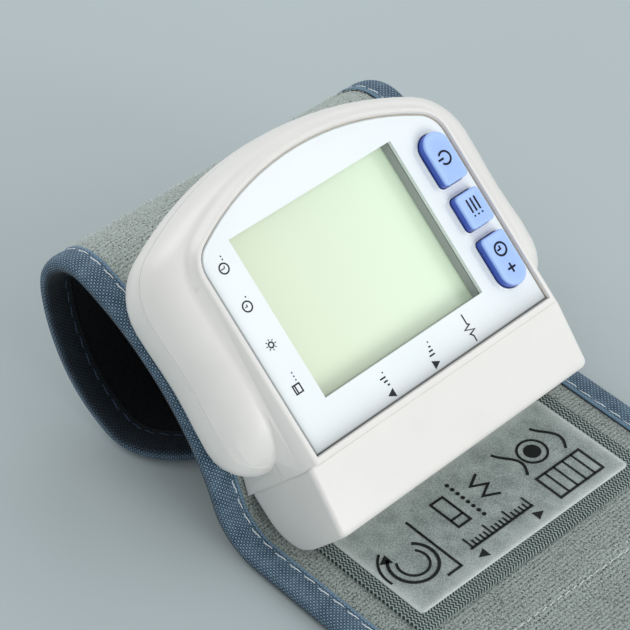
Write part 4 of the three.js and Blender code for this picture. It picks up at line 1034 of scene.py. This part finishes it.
def stitch_row(name, path, outward, inset, height, stitch, thread):
    """Running stitches: each is a thin rounded bar along the path, its ends sunk by the
    dip, and swayed a little to the side by sin(2.399 k) and a sine along the stitch."""
    along = run_length(path)
    line = path - outward * inset
    share = np.array([0, 0.12, 0.35, 0.65, 0.88, 1.0])
    thick = np.array([0.35, 0.85, 1.0, 1.0, 0.85, 0.35]) * stitch["radius"]
    lift = np.array([-1.0, -0.2, 0.0, 0.0, -0.2, -1.0]) * stitch["dip"]
    angle = np.linspace(0, 2 * math.pi, 6, endpoint=False)
    side_by = thick[:, None] * np.cos(angle)
    rise_by = thick[:, None] * np.sin(angle)
    sign = math.copysign(1, height_at(height, 0.0))
    pitch = stitch["length"] + stitch["gap"]
    bars = []
    for k, start in enumerate(np.arange(stitch["gap"], along[-1] - stitch["length"], pitch)):
        at = start + share * stitch["length"]
        s, y = np.interp(at, along, line[:, 0]), np.interp(at, along, line[:, 1])
        sway = stitch["sway"] * (0.1 * math.sin(2.399 * k) + 0.16 * np.sin(2 * math.pi * (share - 0.5)))
        ahead = np.array([s[-1] - s[0], y[-1] - y[0]])
        ahead /= np.linalg.norm(ahead)
        side = np.array([-ahead[1], ahead[0]])
        s, y = s + side[0] * sway, y + side[1] * sway
        t = height_at(height, s) + sign * lift
        rings = [s[:, None] + side[0] * side_by, y[:, None] + side[1] * side_by, t[:, None] + rise_by]
        bars.append(skin(np.stack(rings, -1)))
    return mesh_object(name, carried(joined(bars), on_cuff), None, thread, TAPE_CRISP)


def fuzz_loops(count, low, high, seed):
    """Loose loops of the brushed cloth: each a thin three-sided tube along half a sine
    wave over the cloth, t = t0 + h sin(pi u), its ends in the cloth."""
    thick, root, margin = 0.03, 0.2, 0.6
    rng = np.random.default_rng(seed)
    u = np.linspace(0, 1, 6)
    angle = np.arange(3) * 2 * math.pi / 3
    loops = []
    for s0, y0, h, length, turn, bow in zip(
            low + (high - low) * rng.random(count), rng.uniform(-1, 1, count), rng.uniform(0.15, 0.5, count),
            rng.uniform(0.3, 0.9, count), rng.uniform(0, math.pi, count), rng.uniform(-0.3, 0.3, count)):
        c, d = math.cos(turn), math.sin(turn)
        along, out = length * (u - 0.5), bow * np.sin(math.pi * u)
        s = s0 + along * c - out * d
        y = y0 * (cuff_half(s0) - INSET - margin) + along * d + out * c
        t = MIDDLE - root + (h + root / 2) * np.sin(math.pi * u)
        side_by, rise_by = thick * np.cos(angle), thick * np.sin(angle)
        rings = [s[:, None] - d * side_by, y[:, None] + c * side_by, t[:, None] + rise_by]
        loops.append(skin(np.stack(rings, -1)))
    return joined(loops)


cuff_stitches = over_tail_fold(stitch_row(
    "stitches_cuff", *cuff_edge, SEAM_INSET, MIDDLE - THREAD_DROP, STITCH, thread_white))
under_stitches = over_tail_fold(stitch_row(
    "stitches_cuff_inside", *cuff_edge, SEAM_INSET, -MIDDLE, UNDER_STITCH, thread_in_shade))
flap_stitches = over_flap_fold(stitch_row(
    "stitches_flap", *flap_edge, SEAM_INSET, below_top(THREAD_DROP), STITCH, thread_white))
cross_y = np.linspace(-CROSS_HALF, CROSS_HALF, 68)
cross_path = np.stack([CROSS_S + CROSS_TURN * cross_y, cross_y], -1)
cross_stitches = over_flap_fold(stitch_row(
    "stitches_fold", cross_path, np.zeros_like(cross_path), 0.0, below_top(CROSS_DROP), CROSS_STITCH,
    thread_white))
crown_fuzz = joined([fuzz_loops(1500, CROWN_FROM, CROWN_TO, seed=5),
                     fuzz_loops(900, RISE_FROM, CROWN_FROM, seed=6)])
mesh_object("cloth_fuzz", carried(crown_fuzz, on_cuff), ROOT_BODY, fuzz_grey, TAPE_CRISP)


# Bladder sheets, sprung plate and hook patch

inner_cuff = cloth_layer(
    "bladder_cuff", (1.0, ROUTE_END - INNER_INSET), INNER_INSET, -0.75, -0.15, ROOT_BODY, bladder_skin,
    "air_bladder")
cloth_layer(
    "bladder_tail", (CUT, -1.7), INNER_INSET, 0.9 - MIDDLE, MIDDLE - 0.9, TAIL_BODY, bladder_skin,
    "tail_bladder")
inner_flap = cloth_layer(
    "interlining_flap", (FLAP_END + INNER_INSET, -TAIL - 3), INNER_INSET, 0.8 - MIDDLE, 1.3 - MIDDLE,
    FLAP_BODY, bladder_skin, "flap_interlining")
cloth_layer(
    "sprung_plate", (3.0, ROUTE_END - 1.6), INNER_INSET, 0.15, 0.75, ROOT_BODY, sheet_plastic,
    "cuff_stiffener")
hook_tape = cloth_layer(
    "hook_tape", (FLAP_END + INSET + END_GAP, HOOK_FROM - TAPE_GAP), INSET, LINING_BACK, LINING_FACE,
    FLAP_BODY, lining_cloth, "hook_patch", seam_dip=0.2)


# Label: a satin patch in a mesh band, sewn on the tail

LABEL = dict(x=(13.1, 36.6), y=(-26.6, 26.6), top=4.1)
MESH_FRAME = dict(x=(9.9, 38.6), y=(-29.3, 29.3), top=4.0)
LABEL_SKEW = 0.02
PATCH_CORNER = 1.0
LEAST_CORNER = 0.25


def askew(points):
    """The label and its frame lie a little askew: x grows with y."""
    points = np.array(points, float)
    points[:, 0] += LABEL_SKEW * points[:, 1]
    return points


def from_edges(tree, span, reach):
    """How near a point lies to the edges of a rectangle: exp(-distance / reach)."""
    x, y = axes(tree, place(tree))[:2]
    x = minus(tree, x, times(tree, y, LABEL_SKEW))
    low, high = minus(tree, x, span["x"][0]), minus(tree, span["x"][1], x)
    side = minus(tree, span["y"][1], formula(tree, "ABSOLUTE", y))
    least = formula(tree, "MINIMUM", formula(tree, "MINIMUM", low, high), side)
    return formula(tree, "EXPONENT", times(tree, formula(tree, "MAXIMUM", least, 0.0), -1 / reach))


def label_satin():
    """Satin: soft cloudy grey with a fine grain, with a pale painted highlight along its edges, where they
    round over.
    """
    material, tree, shader = surface("label_satin", 0.55, Sheen_Weight=0.2)
    at = place(tree)
    fine = noise(tree, at, 4.5, 2, 0.8)
    tone = plus(tree, times(tree, noise(tree, at, 0.3, 3, 0.6), 0.3), times(tree, fine, 0.7))
    colour = ramp(tree, tone, (0.37, srgb(90, 103, 100)), (0.63, srgb(174, 185, 181)))
    edge_highlight = times(tree, from_edges(tree, LABEL, 1.1), 0.75)
    painted(tree, shader, mix(tree, edge_highlight, colour, srgb(214, 222, 218)))
    bumped(tree, shader, fine, 0.4, 0.06)
    return material


def zigzag_mesh():
    """Mesh of zigzag cords: sin(2 pi (y + zig(x)) / pitch), where zig goes up and down
    evenly, higher at the turns of the cords."""
    half_wave, lean, pitch = 0.5, 0.8, 0.68
    material, tree, shader = surface("zigzag_mesh", 0.85, Sheen_Weight=0.15)
    at = place(tree)
    x, y = axes(tree, at)[:2]
    turn = formula(tree, "PINGPONG", x, half_wave)
    line = plus(tree, y, times(tree, turn, lean), times(tree, noise(tree, at, 1.8, 2), 0.22))
    cords = formula(tree, "SINE", times(tree, line, 2 * math.pi / pitch))
    slope = formula(tree, "SINE", times(tree, turn, math.pi / half_wave))
    height = minus(tree, plus(tree, times(tree, cords, 0.5), 0.62), times(tree, slope, 0.26))
    painted(tree, shader, ramp(tree, height, (0.3, srgb(16, 32, 32)), (0.85, srgb(156, 174, 169))))
    bumped(tree, shader, height, 0.8, 0.25)
    return material


def patch_rings(span, profile):
    """A flat patch with round corners: its outline drawn in by w at height z."""
    (x0, x1), (y0, y1) = span["x"], span["y"]
    turns = np.linspace(0, math.pi / 2, 6) + np.arange(4)[:, None] * math.pi / 2
    rings = []
    for w, z in profile:
        r = max(PATCH_CORNER - w, LEAST_CORNER)
        near = w + r
        corners = [(x1 - near, y1 - near), (x0 + near, y1 - near), (x0 + near, y0 + near),
                   (x1 - near, y0 + near)]
        outline = np.concatenate([np.stack([x + r * np.cos(turn), y + r * np.sin(turn)], -1)
                                  for (x, y), turn in zip(corners, turns)])
        rings.append(at_height(outline, span["top"] + z))
    return rings


def mesh_band():
    """The mesh band round the label, tucked under its edge, with a rounded outer edge."""
    outer = patch_rings(MESH_FRAME, [(0, -0.9), (0, -0.2), (0.12, -0.05), (0.3, 0.0)])
    inner = patch_rings(dict(LABEL, top=MESH_FRAME["top"]), [(0.3, -0.12), (0.3, -0.9)])
    return ring_skin(np.stack(outer + inner, 1))


def on_label(points):
    """Marks drawn flat, to the label's face."""
    return askew(points) + [0, 0, LABEL["top"]]


LABEL_EDGE = [(0, -0.55), (0, -0.22), (0.08, -0.08), (0.25, 0.0), (0.7, 0.0), (1.1, -0.06)]
label_patch = skin(patch_rings(LABEL, LABEL_EDGE))
mesh_object("label_face", carried(label_patch, askew), TAIL_BODY, label_satin(), SOFT_CRISP,
            "instruction_label")

# The label's drawing, in three groups along y: a rolled cuff with an arrow round it, a
# rule with its ticks, and the cuff's end laid over its fastener.
ROLL_X, ROLL_Y = 22.6, 19.4
DIVIDER_X, DIVIDER_Y, DIVIDER_LONG, DIVIDER_FOOT = 16.4, 13.6, 14.0, 3.4
RULE_X, RULE_LOW, RULE_HIGH, RULE_FIRST = 18.0, -6.3, 9.6, -6.0
TICK, LONG_TICK, TICK_PEN = 1.5, 2.7, 0.38
RULE_ARROW_X = 15.7
DOTS_Y, DOTS_FROM, DOTS_TO, DOTS_STEP = 1.75, 22.4, 33.0, 1.35
PLAN_X, PLAN_Y, PLAN_WIDE, PLAN_HIGH, PLAN_FOLD = 23.2, 4.4, 7.2, 3.0, 2.0
ZIG_X, ZIG_STEP, ZIG_LOW, ZIG_HIGH = 24.0, 1.6, -4.2, -1.2
STRIP_X, STRIP_Y, STRIP_WIDE, STRIP_LONG = 15.8, -22.6, 6.2, 11.2
WRIST_X, WRIST_LONG, WRIST_DEPTH, WRIST_WAVE = 23.8, 8.0, 1.4, 0.55
BEAD_X, BEAD_Y = 27.4, -16.0
ART_PEN = 0.5
BOLD_PEN = 0.52

label_art = [
    stroke(arc(ROLL_X, ROLL_Y, 4.6, 40, 320, 34), 0.62),
    stroke(arc(ROLL_X, ROLL_Y, 3.0, 50, 310, 30), ART_PEN),
    arrowhead(26.2, 23.0, 1, 2.3),
    stroke(arc(ROLL_X, ROLL_Y, 6.3, 30, 100, 16), ART_PEN),
    bar(DIVIDER_X, DIVIDER_Y, DIVIDER_LONG, 0, ART_PEN),
    bar(DIVIDER_X, DIVIDER_Y - ART_PEN / 2, 0, DIVIDER_FOOT + ART_PEN / 2, ART_PEN),
    bar(RULE_X, RULE_LOW, 0, RULE_HIGH - RULE_LOW, BOLD_PEN),
]
label_art += [bar(RULE_X, y, TICK if i % 5 else LONG_TICK, 0, TICK_PEN)
              for i, y in enumerate(np.arange(RULE_FIRST, RULE_HIGH))]
label_art += [arrowhead(RULE_ARROW_X, y, way, 2.1) for y, way in ((8.9, 1), (-5.6, -1))]
label_art += [dot(x, DOTS_Y, 0.42) for x in np.arange(DOTS_FROM, DOTS_TO, DOTS_STEP)]
label_art += [
    box_mark(PLAN_X, PLAN_Y, PLAN_WIDE, PLAN_HIGH, ART_PEN),
    bar(PLAN_X + PLAN_FOLD, PLAN_Y, 0, PLAN_HIGH, 0.44),
    stroke([(ZIG_X + ZIG_STEP * i, ZIG_HIGH if i % 2 else ZIG_LOW) for i in range(5)], BOLD_PEN),
    box_mark(STRIP_X, STRIP_Y, STRIP_WIDE, STRIP_LONG, BOLD_PEN),
]
label_art += [bar(STRIP_X, y, STRIP_WIDE, 0, 0.42) for y in (-13.6, -15.9, -18.2, -20.5)]
wrist_x = np.linspace(WRIST_X, WRIST_X + WRIST_LONG, 24)
wrist_curve = WRIST_DEPTH * np.sin((wrist_x - WRIST_X) * WRIST_WAVE)
label_art += [stroke(np.stack([wrist_x, side - wrist_curve], -1), 0.55) for side in (-11.0, -21.2)]
label_art += [dot(BEAD_X, BEAD_Y, 1.7, 20), ring_mark(BEAD_X, BEAD_Y, 2.9, 0.48)]
marks("label_print", label_art, on_label, TAIL_BODY, label_ink)
mesh_object("label_mesh_band", carried(mesh_band(), askew), TAIL_BODY, zigzag_mesh(), SOFT_CRISP,
            "label_mesh_frame")


# Inner pieces and screws, in their solids' own shapes

INNER_FINISHES = [
    (board_mask, "circuit_board"),
    (black_plastic, "controller_chip", "tact_switch_1", "tact_switch_2", "tact_switch_3"),
    (ivory, "battery_tray"),
    (cell_wrap, "battery_1", "battery_2"),
    (steel, "contact_spring_1", "contact_spring_2", "contact_plate_1", "contact_plate_2", "pump_motor"),
    (black_plastic, "pump_head"),
    (steel, "release_valve"),
    (black_plastic, "pressure_sensor"),
    (sheet_plastic, "air_manifold"),
    (black_plastic, "buzzer"),
    (clear_rubber, "pump_tube", "valve_tube", "sensor_tube"),
    (steel, "case_screw_1", "case_screw_2", "case_screw_3", "case_screw_4"),
]
for material, *solids in INNER_FINISHES:
    for name in solids:
        merged_copy(name, material)


# Ground, lamps and camera

GROUND_HALF = 4000
GROUND_DROP = 0.2
ROOM_COLOUR = (0.93, 0.96, 1.0, 1)
ROOM_STRENGTH = 0.62
LAMPS_AIM = (0.03, 0, 0.02)
LAMPS = {
    "front_softbox": ((-0.75, 0.0, 0.25), 0.5, 2.9),
    "back_softbox": ((0.7, 0.1, 0.5), 0.6, 2.4),
    "right_softbox": ((-0.5, -0.5, 0.45), 0.6, 1.1),
    "far_softbox": ((0.4, -0.5, 0.5), 0.6, 0.8),
}


def stage_ground():
    """A wide flat ground, pale grey with very faint wide patches."""
    material, tree, shader = surface("pale_ground", 0.9)
    cloud = noise(tree, place(tree), 0.004, 2)
    painted(tree, shader, ramp(tree, cloud, (0.3, srgb(171, 182, 183)), (0.7, srgb(176, 187, 188))))
    corners = np.array([(-1, -1, 0), (1, -1, 0), (1, 1, 0), (-1, 1, 0)]) * GROUND_HALF * MM
    mesh = bpy.data.meshes.new("ground")
    mesh.from_pydata(corners.tolist(), [], [(0, 1, 2, 3)])
    mesh.materials.append(material)
    ground = bpy.data.objects.new("ground", mesh)
    ground.location.z = -GROUND_DROP * MM
    bpy.context.scene.collection.objects.link(ground)


def softbox(name, at, size, power):
    """A round soft lamp, aimed at the object; its place and size are in metres."""
    data = bpy.data.lights.new(name, "AREA")
    data.shape = "DISK"
    data.size = size
    data.energy = power
    lamp = bpy.data.objects.new(name, data)
    lamp.location = at
    lamp.rotation_euler = (Vector(LAMPS_AIM) - Vector(at)).to_track_quat("-Z", "Y").to_euler()
    bpy.context.scene.collection.objects.link(lamp)


stage_ground()
for name, (at, size, power) in LAMPS.items():
    softbox(name, at, size, power)

world = bpy.data.worlds.new("soft_room")
world.use_nodes = True
room = world.node_tree.nodes["Background"]
room.inputs["Color"].default_value = ROOM_COLOUR
room.inputs["Strength"].default_value = ROOM_STRENGTH
bpy.context.scene.world = world

# The camera's own directions, its place from the display's centre, its focal length and
# the shift of its centre in the picture's pixels.
RIGHT = Vector((-0.68818, -0.725525, 0.004642))
UP = Vector((0.50334, -0.472803, 0.723261))
BACK = Vector((-0.522549, 0.500071, 0.690559))
CAMERA_AT = Vector((-230.286, 232.509, 297.417))
FOCAL_PIXELS = 2483.376
CENTRE_SHIFT = (1.943, 6.797)
FRAME_PIXELS = 630
SENSOR = 36

camera_data = bpy.data.cameras.new("photo_camera")
camera_data.sensor_width = SENSOR
camera_data.lens = SENSOR * FOCAL_PIXELS / FRAME_PIXELS
camera_data.shift_x = -CENTRE_SHIFT[0] / FRAME_PIXELS
camera_data.shift_y = CENTRE_SHIFT[1] / FRAME_PIXELS
camera_data.clip_start = 0.01
camera_data.clip_end = 20
camera = bpy.data.objects.new("photo_camera", camera_data)
turned = Matrix((RIGHT, UP, BACK)).transposed().to_4x4()
camera.matrix_world = Matrix.Translation((CAMERA_AT + Vector(DISPLAY_AT)) * MM) @ turned
bpy.context.scene.collection.objects.link(camera)
bpy.context.scene.camera = camera

bpy.context.scene.view_settings.view_transform = "Standard"

bpy.context.view_layer.update()
